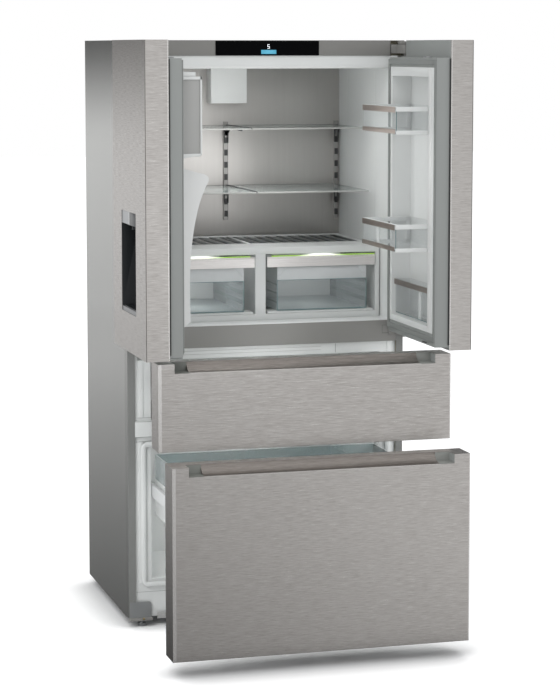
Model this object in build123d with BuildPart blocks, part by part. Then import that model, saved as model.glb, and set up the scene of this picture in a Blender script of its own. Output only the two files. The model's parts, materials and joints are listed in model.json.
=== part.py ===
from build123d import *
import math
import os

os.makedirs("parts", exist_ok=True)

# A fridge-freezer with two French doors over two drawers, in millimetres.
# X runs to the right, Y to the back and Z up. The origin lies on the floor, in the
# middle of the space that the object takes with its doors and drawers open.
# Distances named depth are measured from the cabinet's front plane towards the back.

# Cabinet
cabinet_width = 908.0
cabinet_height = 1835.0
cabinet_depth = 630.0
cabinet_bottom = 28.0
shell_sheet = 1.2
flange_width = 25.5
corner_slope_depth = 30.0
corner_slope_inset = 2.5
back_sheet = 1.0
half_width = cabinet_width / 2

# Fridge space, inner faces of its liner
fridge_side_wall = 53.0
fridge_top_wall = 88.0
fridge_back_wall = 105.0
fridge_floor = 948.0
fridge_ceiling = cabinet_height - fridge_top_wall
fridge_depth = cabinet_depth - fridge_back_wall
fridge_half = half_width - fridge_side_wall
liner_wall = 2.0

# Drawer compartments, inner faces of their liners
compartment_side_wall = 78.0
compartment_half = half_width - compartment_side_wall
middle_floor = 655.0
middle_ceiling = 843.0
bottom_floor = 150.0
bottom_ceiling = 597.0
compartment_back_wall = 85.0
compartment_depth = cabinet_depth - compartment_back_wall
step_height = 338.0
step_back_wall = 250.0
step_depth = cabinet_depth - step_back_wall
ledge_depth = 8.0
moulding_offset = 32.0
moulding_half = 9.0
moulding_depth = 2.5
middle_moulding_bottom = 663.0
bottom_moulding = (139.0, 589.0)
base_panel_bottom = 30.0

# Crossbars between the compartments
upper_bar_bottom = 877.0
upper_bar_top = 945.0
lower_bar_bottom = 604.0
lower_bar_top = 652.0
bar_sheet = 2.0

# Fascia over the fridge space
fascia_height = 48.0
fascia_bottom = cabinet_height - fascia_height
fascia_end_gap = 49.0
fascia_half_width = half_width - fascia_end_gap
fascia_proud = 3.0
fascia_depth = 35.0
fascia_wall = 2.5
fascia_corner = 3.0
display_half_width = 167.0
display_margin = 0.8
display_glass_thickness = 2.0
display_corner = 2.0

# Doors and drawer fronts
closed_front = 118.0
door_gap = 6.0
door_bottom = 908.0
door_steel_depth = 70.0
door_frame_depth = 112.0
door_frame_inset = 4.0
door_frame_slope = 7.0
door_frame_bottom = 917.0
door_frame_drop = 53.0
door_frame_top = cabinet_height - door_frame_drop
door_liner_proud = 2.0
front_sheet = 1.2
seal_proud = 4.0
seal_width = 17.0
hinge_inset = 17.5
hinge_ahead = 55.1
pin_radius = 5.0
pin_clearance = 0.3

front_gap = 1.0
front_width = cabinet_width - 2 * front_gap
front_steel_depth = 91.0
front_panel_depth = 106.0
front_panel_inset = 6.0
drawer_seal_edge = 12.0
drawer_seal_proud = 10.0
middle_front_bottom = 632.0
middle_front_top = 892.0
bottom_front_bottom = 49.5
bottom_front_top = 616.5
middle_pull_short = 310.0
bottom_pull_short = 137.0
middle_pull = cabinet_depth - middle_pull_short
bottom_pull = cabinet_depth - bottom_pull_short

# Grip recess along the top of each drawer front
grip_end_gap = 49.0
grip_half_width = front_width / 2 - grip_end_gap
grip_depth = 50.0
grip_height = 28.0
grip_bar_short = 46.0
grip_bar_half_width = grip_half_width - grip_bar_short
grip_sheet = 2.0
grip_hollow_back = 5.0
grip_hollow_down = 6.0
grip_end_sheet = 6.0

# Drawer boxes and slide rails
box_side_gap = 16.0
box_half_width = compartment_half - box_side_gap
box_wall = 3.0
box_foot_round = 10.0
middle_box_bottom = 664.0
middle_box_top = 826.0
middle_box_gap = 75.0
middle_box_depth = compartment_depth - middle_box_gap
tub_bottom = 162.0
tub_top = 465.0
tub_step_gap = 15.0
tub_lower_depth = step_depth - tub_step_gap
tub_step_top = 350.0
glass_wall_top = 543.0
bottom_box_gap = 32.0
bottom_box_depth = compartment_depth - bottom_box_gap
rail_front_depth = 12.0
rail_rear_gap = 43.0
rail_length = compartment_depth - rail_rear_gap - rail_front_depth
rail_sheet = 1.5
rail_lip_set_back = 4.0
moving_rail_set_back = 6.0
tongue_set_back = 4.0
rail_clearance = 0.6
middle_rail_height = 740.0
bottom_rail_height = 430.0

# Shelves, their ladders and the crispers
shelf_half_gap = 2.5
shelf_side_gap = 27.0
shelf_outer = fridge_half - shelf_side_gap
shelf_glass = 5.0
pane_corner = 4.0
shelf_back_gap = 20.0
shelf_back_depth = fridge_depth - shelf_back_gap
upper_shelf_drop = 192.0
upper_shelf_top = fridge_ceiling - upper_shelf_drop
upper_shelf_front = 190.0
lower_shelf_front = 125.0
ladder_wall_gap = 14.0
ladder_place = fridge_half - ladder_wall_gap
ladder_width = 14.0
ladder_thickness = 9.0
ladder_rise = 11.0
ladder_drop = 118.0
slot_pitch = 41.0
slot_height = 20.0
slot_width = 4.0
slot_columns = 7.0
arm_height = 14.0
arm_tip_height = 5.0
arm_thickness = 3.0
arm_set_back = 60.0
arm_offset = 20.0
hook_height = 31.0
hook_length = 12.0
trim_height = 9.0
trim_depth = 10.0

crisper_front = 80.0
crisper_back_gap = 55.0
crisper_back = fridge_depth - crisper_back_gap
crisper_rail_top = 1180.0
crisper_rail_bottom = 1158.0
crisper_sill_top = 968.0
crisper_post_half = 17.0
crisper_frame_gap = 3.0
crisper_frame_outer = fridge_half - crisper_frame_gap
crisper_frame_side = 14.0
crisper_frame_thickness = 12.0
crisper_side_clearance = 4.0
crisper_deck = 8.0
crisper_partition = 6.0
crisper_wall = 2.5
crisper_corner = 6.0
crisper_rim = 4.0
crisper_inner_inset = 33.0
crisper_outer_inset = 26.0
crisper_bottom = 974.0
crisper_top = 1150.0
crisper_strip_bottom = 1117.0
crisper_strip_top = 1144.0
crisper_strip_proud = 6.0
cover_glass_front = 216.0
cover_glass = 4.0
cover_rim = 8.0
cover_rear_rim = 10.0
cover_play = 0.5
# The lower shelf hangs a little below the middle of the space over the crispers.
lower_shelf_offset = 13.5
lower_shelf_top = (upper_shelf_top + crisper_rail_top) / 2 - lower_shelf_offset
ladder_bottom = lower_shelf_top - ladder_drop
ladder_top = upper_shelf_top + ladder_rise

# Feet, rollers and base
foot_side_gap = 46.7
foot_place = half_width - foot_side_gap
foot_depth = 16.0
foot_radius = 14.0
foot_disc = 9.0
foot_stem_radius = 5.0
foot_stem_top = 40.0
foot_nut_radius = 10.0
foot_nut_height = 5.0
bracket_side_edge = 5.0
bracket_width = 69.0
bracket_outer = half_width - bracket_side_edge
bracket_inner = bracket_outer - bracket_width
bracket_top = 79.0
bracket_bottom = 22.0
bracket_thickness = 1.5
base_sheet = 2.0
base_lip = 18.0
roller_radius = 18.0
roller_width = 20.0
roller_side_gap = 54.0
roller_place = half_width - roller_side_gap
roller_back_gap = 40.0
roller_depth = cabinet_depth - roller_back_gap
roller_axle_radius = 4.0

# Machine space at the rear bottom
machine_length = 225.0
machine_front = cabinet_depth - machine_length
machine_top = 300.0
machine_side_wall = 24.0
machine_half_width = half_width - machine_side_wall

# Places worked out from the sizes above
front_y = (closed_front + bottom_pull - cabinet_depth) / 2
flange_inner = half_width - flange_width
door_width = half_width - door_gap / 2
hinge_x = half_width - hinge_inset
pin_to_face = closed_front - hinge_ahead
# An open door's outer face stands this far from the middle of the cabinet.
open_face = hinge_x + pin_to_face
# The hinge-side edge of an open door is this far ahead of the cabinet's front plane.
open_edge = hinge_ahead - hinge_inset


def y_at(depth):
    """Y of a plane at a depth behind the cabinet's front plane."""
    return front_y + depth


def block(x, y, z, mode=Mode.ADD):
    """Box between a low and a high value on each axis."""
    centre = ((x[0] + x[1]) / 2, (y[0] + y[1]) / 2, (z[0] + z[1]) / 2)
    with Locations(centre):
        Box(x[1] - x[0], y[1] - y[0], z[1] - z[0], mode=mode)


def cabinet_block(x, depth, z, mode=Mode.ADD):
    """Box whose middle pair is a depth range behind the cabinet's front plane."""
    block(x, (y_at(depth[0]), y_at(depth[1])), z, mode=mode)


def door_x(side, inward):
    """X of an open door's plane, a distance inward from its outer face."""
    return side * (open_face - inward)


def door_y(along):
    """Y of a line across an open door, a distance along it from its hinge edge."""
    return front_y - open_edge - along


def door_block(side, along, inward, z, mode=Mode.ADD):
    """Box in an open door, given along its width, inward from its face, and in height."""
    xs = sorted((door_x(side, inward[0]), door_x(side, inward[1])))
    ys = sorted((door_y(along[0]), door_y(along[1])))
    block(xs, ys, z, mode=mode)


def door_outline(side, points):
    """Closed polygon in a door's plan, from pairs of along and inward."""
    Polyline(*[(door_x(side, inward), door_y(along)) for along, inward in points], close=True)


def save(part, label):
    """Label a finished piece and write its file."""
    part.label = label
    export_step(part, f"parts/{label}.step")


# Cabinet shell: two side sheets with a sloped front strip and a flange, and a top sheet
def side_sheet_outline(side):
    """Plan of one side sheet: wall, sloped strip and front flange, with its thickness."""
    t = shell_sheet
    outer = half_width
    sloped = half_width - corner_slope_inset
    points = [
        (outer, cabinet_depth - back_sheet),
        (outer, corner_slope_depth),
        (sloped, 0),
        (flange_inner, 0),
        (flange_inner, t),
        (sloped - t, t),
        (outer - t, corner_slope_depth),
        (outer - t, cabinet_depth - back_sheet),
    ]
    Polyline(*[(side * x, y_at(d)) for x, d in points], close=True)


with BuildPart() as cabinet_shell:
    for side in (-1, 1):
        with BuildSketch(Plane.XY.offset(cabinet_bottom)):
            with BuildLine():
                side_sheet_outline(side)
            make_face()
        extrude(amount=cabinet_height - cabinet_bottom)
    top_half = half_width - corner_slope_inset
    cabinet_block(
        (-top_half, top_half),
        (corner_slope_depth, cabinet_depth - back_sheet),
        (cabinet_height - shell_sheet, cabinet_height),
    )
    cabinet_block(
        (-top_half + shell_sheet, top_half - shell_sheet),
        (0, corner_slope_depth),
        (cabinet_height - shell_sheet, cabinet_height),
    )
    # The flange stops below the hinge brackets.
    cabinet_block(
        (-half_width + 2 * corner_slope_inset, half_width - 2 * corner_slope_inset),
        (-shell_sheet, 2 * shell_sheet),
        (fascia_bottom, cabinet_height - shell_sheet),
        mode=Mode.SUBTRACT,
    )
save(cabinet_shell.part, "cabinet_shell")

# Rear sheet, with vent slots over the machine space, a power inlet and a water inlet
vent_count = 9
vent_pitch = 16.0
vent_width = 6.0
vent_length = 240.0
vent_side_gap = 274.0
vent_place = half_width - vent_side_gap
vent_bottom = 90.0
inlet_side_gap = 124.0
inlet_place = inlet_side_gap - half_width
inlet_height = 130.0
inlet_size = (50.0, 28.0)
inlet_recess = 22.0
inlet_wall = 2.0
water_side_gap = 224.0
water_place = water_side_gap - half_width
water_radius = 13.2
water_bore = 8.0
water_length = 14.0
with BuildPart() as back_panel:
    inner_half = half_width - shell_sheet
    cabinet_block(
        (-inner_half, inner_half),
        (cabinet_depth - back_sheet, cabinet_depth),
        (cabinet_bottom, cabinet_height - shell_sheet),
    )
    slot_middle = vent_bottom + (vent_count - 1) * vent_pitch / 2
    with BuildSketch(Plane.XZ.offset(-y_at(cabinet_depth))):
        with Locations((vent_place, slot_middle)):
            with GridLocations(1, vent_pitch, 1, vent_count):
                SlotOverall(vent_length, vent_width)
        with Locations((inlet_place, inlet_height)):
            Rectangle(*inlet_size)
    extrude(amount=back_sheet, mode=Mode.SUBTRACT)
    # Cup of the power inlet
    cup_x = (inlet_place - inlet_size[0] / 2, inlet_place + inlet_size[0] / 2)
    cup_z = (inlet_height - inlet_size[1] / 2, inlet_height + inlet_size[1] / 2)
    cabinet_block(
        (cup_x[0] - inlet_wall, cup_x[1] + inlet_wall),
        (cabinet_depth - back_sheet - inlet_recess, cabinet_depth - back_sheet),
        (cup_z[0] - inlet_wall, cup_z[1] + inlet_wall),
    )
    cabinet_block(
        cup_x,
        (cabinet_depth - back_sheet - inlet_recess + inlet_wall, cabinet_depth),
        cup_z,
        mode=Mode.SUBTRACT,
    )
    # Threaded stub of the water inlet, standing inward from the sheet
    with BuildSketch(Plane.XZ.offset(-y_at(cabinet_depth))):
        with Locations((water_place, inlet_height)):
            Circle(water_radius)
    extrude(amount=back_sheet + water_length)
    with BuildSketch(Plane.XZ.offset(-y_at(cabinet_depth))):
        with Locations((water_place, inlet_height)):
            Circle(water_bore)
    extrude(amount=back_sheet + water_length, mode=Mode.SUBTRACT)
save(back_panel.part, "back_panel")

# Base frame: bottom sheet with side lips, front corner brackets and rear roller forks
fork_thickness = 3.0
fork_gap = 1.0
fork_bottom = 8.0
bracket_corner = 8.0
with BuildPart() as base_frame:
    inner_half = half_width - shell_sheet
    base_depth = (ledge_depth + liner_wall, cabinet_depth - back_sheet)
    sloped_half = inner_half - corner_slope_inset
    rear_base = (corner_slope_depth, base_depth[1])
    sheet_z = (cabinet_bottom, cabinet_bottom + base_sheet)
    cabinet_block((-sloped_half, sloped_half), base_depth, sheet_z)
    cabinet_block((-inner_half, inner_half), rear_base, sheet_z)
    for side in (-1, 1):
        lip = sorted((side * inner_half, side * (inner_half - base_sheet)))
        cabinet_block(lip, rear_base, (cabinet_bottom, cabinet_bottom + base_lip))
        # Corner bracket in front of the flange, joined to the sheet by a web under it
        plate_x = sorted((side * bracket_inner, side * bracket_outer))
        cabinet_block(plate_x, (-bracket_thickness, 0), (bracket_bottom, bracket_top))
        cabinet_block(
            plate_x,
            (-bracket_thickness, base_depth[0] + base_sheet),
            (bracket_bottom, cabinet_bottom),
        )
        # Hole for the foot's stem
        with BuildSketch(Plane.XY.offset(bracket_bottom)):
            with Locations((side * foot_place, y_at(foot_depth))):
                Circle(foot_stem_radius + pin_clearance)
        extrude(amount=cabinet_bottom + base_sheet - bracket_bottom, mode=Mode.SUBTRACT)
        # Well for the roller, closed by a fork on each side of it
        half_well = roller_width / 2 + fork_gap
        well_x = (side * roller_place - half_well, side * roller_place + half_well)
        well_reach = roller_radius + 2 * fork_gap
        well_depth = (roller_depth - well_reach, roller_depth + well_reach)
        cabinet_block(
            (well_x[0] - fork_thickness, well_x[1] + fork_thickness),
            (roller_depth - roller_radius / 2, roller_depth + roller_radius / 2),
            (fork_bottom, cabinet_bottom),
        )
        cabinet_block(well_x, well_depth, (0, cabinet_bottom + base_sheet), mode=Mode.SUBTRACT)
        # Cover over the well, and axle holes in the fork
        cover_top = 2 * roller_radius + 2 * fork_gap + fork_thickness
        cabinet_block(
            (well_x[0] - fork_thickness, well_x[1] + fork_thickness),
            (well_depth[0] - fork_thickness, well_depth[1] + fork_thickness),
            (cabinet_bottom, cover_top),
        )
        cabinet_block(
            well_x, well_depth, (cabinet_bottom, cover_top - fork_thickness), mode=Mode.SUBTRACT
        )
        with BuildSketch(Plane.YZ.offset(well_x[0] - fork_thickness)):
            with Locations((y_at(roller_depth), roller_radius)):
                Circle(roller_axle_radius + pin_clearance)
        extrude(amount=roller_width + 2 * (fork_gap + fork_thickness), mode=Mode.SUBTRACT)
    bracket_edges = base_frame.edges().filter_by(Axis.Y).group_by(Axis.Z)[-1]
    inner_corners = [e for e in bracket_edges if abs(e.center().X) < foot_place]
    fillet(inner_corners, radius=bracket_corner)
save(base_frame.part, "base_frame")

# Foam between the shell and the liners, open for the cavities and the machine space
evaporator_side_room = 76.0
evaporator_half = compartment_half - evaporator_side_room
evaporator_pocket = 58.0
evaporator_depth = (
    compartment_depth + liner_wall,
    compartment_depth + liner_wall + evaporator_pocket,
)
evaporator_height = (380.0, 800.0)
liner_floor_top = fridge_floor - liner_wall
with BuildPart() as cabinet_insulation:
    inner_half = half_width - shell_sheet
    foam_front = ledge_depth + liner_wall
    foam_z = (cabinet_bottom + base_sheet, cabinet_height - shell_sheet)
    sloped_half = inner_half - corner_slope_inset
    rear_foam = (corner_slope_depth, cabinet_depth - back_sheet)
    cabinet_block((-sloped_half, sloped_half), (foam_front, corner_slope_depth), foam_z)
    cabinet_block((-inner_half, inner_half), rear_foam, foam_z)
    fridge_outer = fridge_half + liner_wall
    compartment_outer = compartment_half + liner_wall
    cabinet_block(
        (-fridge_outer, fridge_outer),
        (0, fridge_depth + liner_wall),
        (liner_floor_top, fridge_ceiling + liner_wall),
        mode=Mode.SUBTRACT,
    )
    cabinet_block(
        (-compartment_outer, compartment_outer),
        (0, compartment_depth + liner_wall),
        (middle_floor - liner_wall, middle_ceiling + liner_wall),
        mode=Mode.SUBTRACT,
    )
    cabinet_block(
        (-compartment_outer, compartment_outer),
        (0, compartment_depth + liner_wall),
        (step_height, bottom_ceiling + liner_wall),
        mode=Mode.SUBTRACT,
    )
    cabinet_block(
        (-compartment_outer, compartment_outer),
        (0, step_depth + liner_wall),
        (bottom_floor - liner_wall, step_height),
        mode=Mode.SUBTRACT,
    )
    cabinet_block(
        (-machine_half_width, machine_half_width),
        (machine_front, cabinet_depth),
        (cabinet_bottom, machine_top),
        mode=Mode.SUBTRACT,
    )
    cabinet_block(
        (-evaporator_half, evaporator_half), evaporator_depth, evaporator_height, mode=Mode.SUBTRACT
    )
    # Room for the fascia and the hinge brackets along the top
    cabinet_block(
        (-inner_half, inner_half),
        (0, fascia_depth),
        (fascia_bottom, cabinet_height - shell_sheet),
        mode=Mode.SUBTRACT,
    )
    # Room for the roller wells and the side lips of the base
    for side in (-1, 1):
        half_well = roller_width / 2 + fork_gap + fork_thickness
        well_reach = roller_radius + 2 * fork_gap + fork_thickness
        cabinet_block(
            (side * roller_place - half_well, side * roller_place + half_well),
            (roller_depth - well_reach, roller_depth + well_reach),
            (cabinet_bottom, 2 * roller_radius + 2 * fork_gap + fork_thickness),
            mode=Mode.SUBTRACT,
        )
        lip = sorted((side * inner_half, side * (inner_half - base_sheet)))
        cabinet_block(
            lip, rear_foam, (cabinet_bottom, cabinet_bottom + base_lip), mode=Mode.SUBTRACT
        )
        # The foot's stem stands in a free hole.
        with BuildSketch(Plane.XY.offset(cabinet_bottom)):
            with Locations((side * foot_place, y_at(foot_depth))):
                Circle(foot_radius)
        extrude(amount=base_lip, mode=Mode.SUBTRACT)
save(cabinet_insulation.part, "cabinet_insulation")

# Fridge liner: open box with a front ledge at the sides and the top
with BuildPart() as fridge_liner:
    fridge_outer = fridge_half + liner_wall
    cabinet_block(
        (-fridge_outer, fridge_outer),
        (liner_wall, fridge_depth + liner_wall),
        (fridge_floor - liner_wall, fridge_ceiling + liner_wall),
    )
    cabinet_block((-flange_inner, flange_inner), (0, liner_wall), (upper_bar_top, fascia_bottom))
    cabinet_block(
        (-fridge_half, fridge_half),
        (0, fridge_depth),
        (fridge_floor, fridge_ceiling),
        mode=Mode.SUBTRACT,
    )
save(fridge_liner.part, "fridge_liner")


# Drawer compartment liners: tubs with a moulded ledge round the opening
def compartment_ledge(z, moulding_z):
    """Front ledge from the flange to the opening, and the frame's rounded moulding."""
    cabinet_block((-flange_inner, flange_inner), (ledge_depth, ledge_depth + liner_wall), z)
    moulding_x = compartment_half + moulding_offset
    for side in (-1, 1):
        with BuildSketch(Plane.XY.offset(moulding_z[0])) as moulding:
            with Locations((side * moulding_x, y_at(ledge_depth + liner_wall - moulding_depth))):
                Ellipse(moulding_half, moulding_depth)
        extrude(moulding.sketch, amount=moulding_z[1] - moulding_z[0])


with BuildPart() as middle_liner:
    compartment_outer = compartment_half + liner_wall
    cabinet_block(
        (-compartment_outer, compartment_outer),
        (ledge_depth, compartment_depth + liner_wall),
        (middle_floor - liner_wall, middle_ceiling + liner_wall),
    )
    compartment_ledge(
        (lower_bar_top, upper_bar_bottom), (middle_moulding_bottom, upper_bar_bottom)
    )
    cabinet_block(
        (-compartment_half, compartment_half),
        (0, compartment_depth),
        (middle_floor, middle_ceiling),
        mode=Mode.SUBTRACT,
    )
save(middle_liner.part, "middle_liner")

with BuildPart() as bottom_liner:
    compartment_outer = compartment_half + liner_wall
    cabinet_block(
        (-compartment_outer, compartment_outer),
        (ledge_depth, compartment_depth + liner_wall),
        (step_height, bottom_ceiling + liner_wall),
    )
    cabinet_block(
        (-compartment_outer, compartment_outer),
        (ledge_depth, step_depth + liner_wall),
        (bottom_floor - liner_wall, step_height),
    )
    compartment_ledge((base_panel_bottom, lower_bar_bottom), bottom_moulding)
    cabinet_block(
        (-compartment_half, compartment_half),
        (0, compartment_depth),
        (step_height + liner_wall, bottom_ceiling),
        mode=Mode.SUBTRACT,
    )
    cabinet_block(
        (-compartment_half, compartment_half),
        (0, step_depth),
        (bottom_floor, step_height + liner_wall),
        mode=Mode.SUBTRACT,
    )
save(bottom_liner.part, "bottom_liner")


# Crossbars: pressed channels across the front, open to the back
def crossbar(z):
    """Channel from flange to flange between two heights."""
    cabinet_block((-flange_inner, flange_inner), (0, ledge_depth + liner_wall), z)
    cabinet_block(
        (-flange_inner + bar_sheet, flange_inner - bar_sheet),
        (bar_sheet, ledge_depth + liner_wall),
        (z[0] + bar_sheet, z[1] - bar_sheet),
        mode=Mode.SUBTRACT,
    )


with BuildPart() as upper_crossbar:
    crossbar((upper_bar_bottom, upper_bar_top))
save(upper_crossbar.part, "upper_crossbar")

with BuildPart() as lower_crossbar:
    crossbar((lower_bar_bottom, lower_bar_top))
save(lower_crossbar.part, "lower_crossbar")

# Fascia: hollow bar over the opening, open to the back, with rounded ends
with BuildPart() as top_fascia:
    fascia_top = cabinet_height - shell_sheet
    cabinet_block(
        (-fascia_half_width, fascia_half_width),
        (-fascia_proud, fascia_depth),
        (fascia_bottom, fascia_top),
    )
    front_corners = top_fascia.edges().filter_by(Axis.Z).group_by(Axis.Y)[0]
    fillet(front_corners, radius=fascia_corner)
    cabinet_block(
        (-fascia_half_width + fascia_wall, fascia_half_width - fascia_wall),
        (-fascia_proud + fascia_wall, fascia_depth),
        (fascia_bottom + fascia_wall, fascia_top - fascia_wall),
        mode=Mode.SUBTRACT,
    )
save(top_fascia.part, "top_fascia")

with BuildPart() as display_glass:
    cabinet_block(
        (-display_half_width, display_half_width),
        (-fascia_proud - display_glass_thickness, -fascia_proud),
        (fascia_bottom + display_margin, cabinet_height - 2 * display_margin),
    )
    fillet(display_glass.edges().filter_by(Axis.Y), radius=display_corner)
save(display_glass.part, "display_glass")

# Steel panel on the rear wall of the fridge space
rear_sheet = 1.2
rear_panel_depth = fridge_depth - rear_sheet
with BuildPart() as fridge_rear_panel:
    cabinet_block(
        (-fridge_half + rear_sheet, fridge_half - rear_sheet),
        (rear_panel_depth, fridge_depth),
        (fridge_floor + rear_sheet, fridge_ceiling - rear_sheet),
    )
save(fridge_rear_panel.part, "fridge_rear_panel")

# White box at the top of the rear panel: filter and air outlet cover
filter_half_width = 62.0
filter_depth = 53.0
filter_height = 119.0
filter_bottom = fridge_ceiling - filter_height
filter_wall = 2.0
filter_corner = 3.0
with BuildPart() as filter_box:
    filter_front = rear_panel_depth - filter_depth
    cabinet_block(
        (-filter_half_width, filter_half_width),
        (filter_front, rear_panel_depth),
        (filter_bottom, fridge_ceiling),
    )
    fillet(filter_box.edges().filter_by(Axis.Z).group_by(Axis.Y)[0], radius=filter_corner)
    cabinet_block(
        (-filter_half_width + filter_wall, filter_half_width - filter_wall),
        (filter_front + filter_wall, rear_panel_depth),
        (filter_bottom + filter_wall, fridge_ceiling),
        mode=Mode.SUBTRACT,
    )
save(filter_box.part, "filter_box")

# Shelf ladders on the rear panel, and the arms that hook into them under each pane
ladder_front = rear_panel_depth - ladder_thickness
slot_rows = int((ladder_top - ladder_bottom - slot_pitch) // slot_pitch) + 1


def shelf_arm(x, shelf_top, shelf_front):
    """Tapered arm under a pane, from its ladder towards the pane's front."""
    under = shelf_top - shelf_glass
    tip = shelf_front + arm_set_back
    with BuildSketch(Plane.YZ.offset(x - arm_thickness / 2)) as arm:
        with BuildLine():
            Polyline(
                (y_at(ladder_front), under),
                (y_at(tip), under),
                (y_at(tip), under - arm_tip_height),
                (y_at(ladder_front - arm_set_back), under - arm_height),
                (y_at(ladder_front - hook_length), under - hook_height),
                (y_at(ladder_front), under - hook_height),
                close=True,
            )
        make_face()
    extrude(arm.sketch, amount=arm_thickness)


with BuildPart() as shelf_ladders:
    for place in (-ladder_place, 0.0, ladder_place):
        cabinet_block(
            (place - ladder_width / 2, place + ladder_width / 2),
            (ladder_front, rear_panel_depth),
            (ladder_bottom, ladder_top),
        )
        with BuildSketch(Plane.XZ.offset(-y_at(ladder_front))):
            with Locations((place, (ladder_bottom + ladder_top) / 2)):
                with GridLocations(slot_columns, slot_pitch, 2, slot_rows):
                    Rectangle(slot_width, slot_height)
        extrude(amount=-ladder_thickness / 2, mode=Mode.SUBTRACT)
    for shelf_top, shelf_front in (
        (upper_shelf_top, upper_shelf_front),
        (lower_shelf_top, lower_shelf_front),
    ):
        outer_arm = ladder_place - arm_offset
        for x in (-outer_arm, -arm_offset, arm_offset, outer_arm):
            shelf_arm(x, shelf_top, shelf_front)
            # Hook plate from the arm across to its ladder
            ladder = min((-ladder_place, 0.0, ladder_place), key=lambda place: abs(place - x))
            under = shelf_top - shelf_glass
            cabinet_block(
                sorted((x, ladder)),
                (ladder_front - 2 * arm_thickness, ladder_front),
                (under - hook_height, under - arm_height),
            )
save(shelf_ladders.part, "shelf_ladders")


# Split glass shelves on two levels
def shelf_panes(shelf_top, shelf_front):
    """Left and right pane of one level, with rounded front corners."""
    for side in (-1, 1):
        xs = sorted((side * shelf_half_gap, side * shelf_outer))
        middle = ((xs[0] + xs[1]) / 2, y_at((shelf_front + shelf_back_depth) / 2))
        with BuildSketch(Plane.XY.offset(shelf_top - shelf_glass)) as pane:
            with Locations(middle):
                RectangleRounded(xs[1] - xs[0], shelf_back_depth - shelf_front, pane_corner)
        extrude(pane.sketch, amount=shelf_glass)


with BuildPart() as upper_shelf_glass:
    shelf_panes(upper_shelf_top, upper_shelf_front)
save(upper_shelf_glass.part, "upper_shelf_glass")

with BuildPart() as lower_shelf_glass:
    shelf_panes(lower_shelf_top, lower_shelf_front)
save(lower_shelf_glass.part, "lower_shelf_glass")

# Edge profiles along the front and the back of every pane
with BuildPart() as shelf_trims:
    for shelf_top, shelf_front in (
        (upper_shelf_top, upper_shelf_front),
        (lower_shelf_top, lower_shelf_front),
    ):
        for side in (-1, 1):
            xs = sorted((side * shelf_half_gap, side * shelf_outer))
            middle = shelf_top - shelf_glass / 2
            front_z = (middle - trim_height / 2, middle + trim_height / 2)
            cabinet_block(xs, (shelf_front - trim_depth, shelf_front), front_z)
            under = shelf_top - shelf_glass
            back_depth = (shelf_back_depth, shelf_back_depth + trim_depth / 2)
            cabinet_block(xs, back_depth, (under, under + trim_height))
save(shelf_trims.part, "shelf_trims")

# Frame round the crispers: deck with a front rail, three posts, a sill and side walls
with BuildPart() as crisper_frame:
    frame_half = crisper_frame_outer
    frame_back = shelf_back_depth
    post_inner = crisper_frame_outer - crisper_frame_side
    deck_bottom = crisper_rail_top - crisper_deck
    cabinet_block(
        (-frame_half, frame_half),
        (crisper_front, frame_back),
        (fridge_floor, crisper_rail_top),
    )
    # Two bays behind the front openings
    for side in (-1, 1):
        bay = sorted((side * crisper_post_half, side * post_inner))
        cabinet_block(
            bay,
            (crisper_front, crisper_front + crisper_frame_thickness),
            (crisper_sill_top, crisper_rail_bottom),
            mode=Mode.SUBTRACT,
        )
    cabinet_block(
        (-post_inner, post_inner),
        (crisper_front + crisper_frame_thickness, frame_back),
        (fridge_floor, deck_bottom),
        mode=Mode.SUBTRACT,
    )
    # Middle wall between the two bays
    cabinet_block(
        (-crisper_partition / 2, crisper_partition / 2),
        (crisper_front + crisper_frame_thickness, frame_back),
        (fridge_floor, deck_bottom),
    )
    # Opening in the deck for the glass cover, with a step that carries it
    glass_half = shelf_outer
    cabinet_block(
        (-glass_half, glass_half),
        (cover_glass_front, frame_back - cover_rear_rim),
        (crisper_rail_top - cover_glass, crisper_rail_top),
        mode=Mode.SUBTRACT,
    )
    for side in (-1, 1):
        opening = sorted((side * cover_rim, side * (glass_half - cover_rim)))
        cabinet_block(
            opening,
            (cover_glass_front + cover_rim, frame_back - cover_rear_rim - cover_rim),
            (deck_bottom, crisper_rail_top),
            mode=Mode.SUBTRACT,
        )
save(crisper_frame.part, "crisper_frame")

with BuildPart() as crisper_cover_glass:
    for side in (-1, 1):
        xs = sorted((side * cover_play, side * (glass_half - cover_play)))
        cabinet_block(
            xs,
            (cover_glass_front + cover_play, frame_back - cover_rear_rim - cover_play),
            (crisper_rail_top - cover_glass, crisper_rail_top),
        )
save(crisper_cover_glass.part, "crisper_cover_glass")

# Crispers: clear boxes under a wider rim, with a raised strip across the front
crisper_inner_edge = crisper_post_half + crisper_side_clearance
crisper_outer_edge = post_inner - crisper_side_clearance
for name, side in (("left_crisper", -1), ("right_crisper", 1)):
    xs = sorted((side * crisper_inner_edge, side * crisper_outer_edge))
    box_inner = side * (crisper_inner_edge + crisper_inner_inset)
    box_outer = side * (crisper_outer_edge - crisper_outer_inset)
    box_x = sorted((box_inner, box_outer))
    with BuildPart() as crisper:
        cabinet_block(box_x, (crisper_front, crisper_back), (crisper_bottom, crisper_top))
        fillet(crisper.edges().group_by(Axis.Z)[0], radius=crisper_corner)
        cabinet_block(xs, (crisper_front, crisper_back), (crisper_top - crisper_rim, crisper_top))
        inner = (box_x[0] + crisper_wall, box_x[1] - crisper_wall)
        cabinet_block(
            inner,
            (crisper_front + crisper_wall, crisper_back - crisper_wall),
            (crisper_bottom + crisper_wall, crisper_top),
            mode=Mode.SUBTRACT,
        )
        cabinet_block(
            xs,
            (crisper_front - crisper_strip_proud, crisper_front),
            (crisper_strip_bottom, crisper_strip_top),
        )
    save(crisper.part, name)

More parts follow.
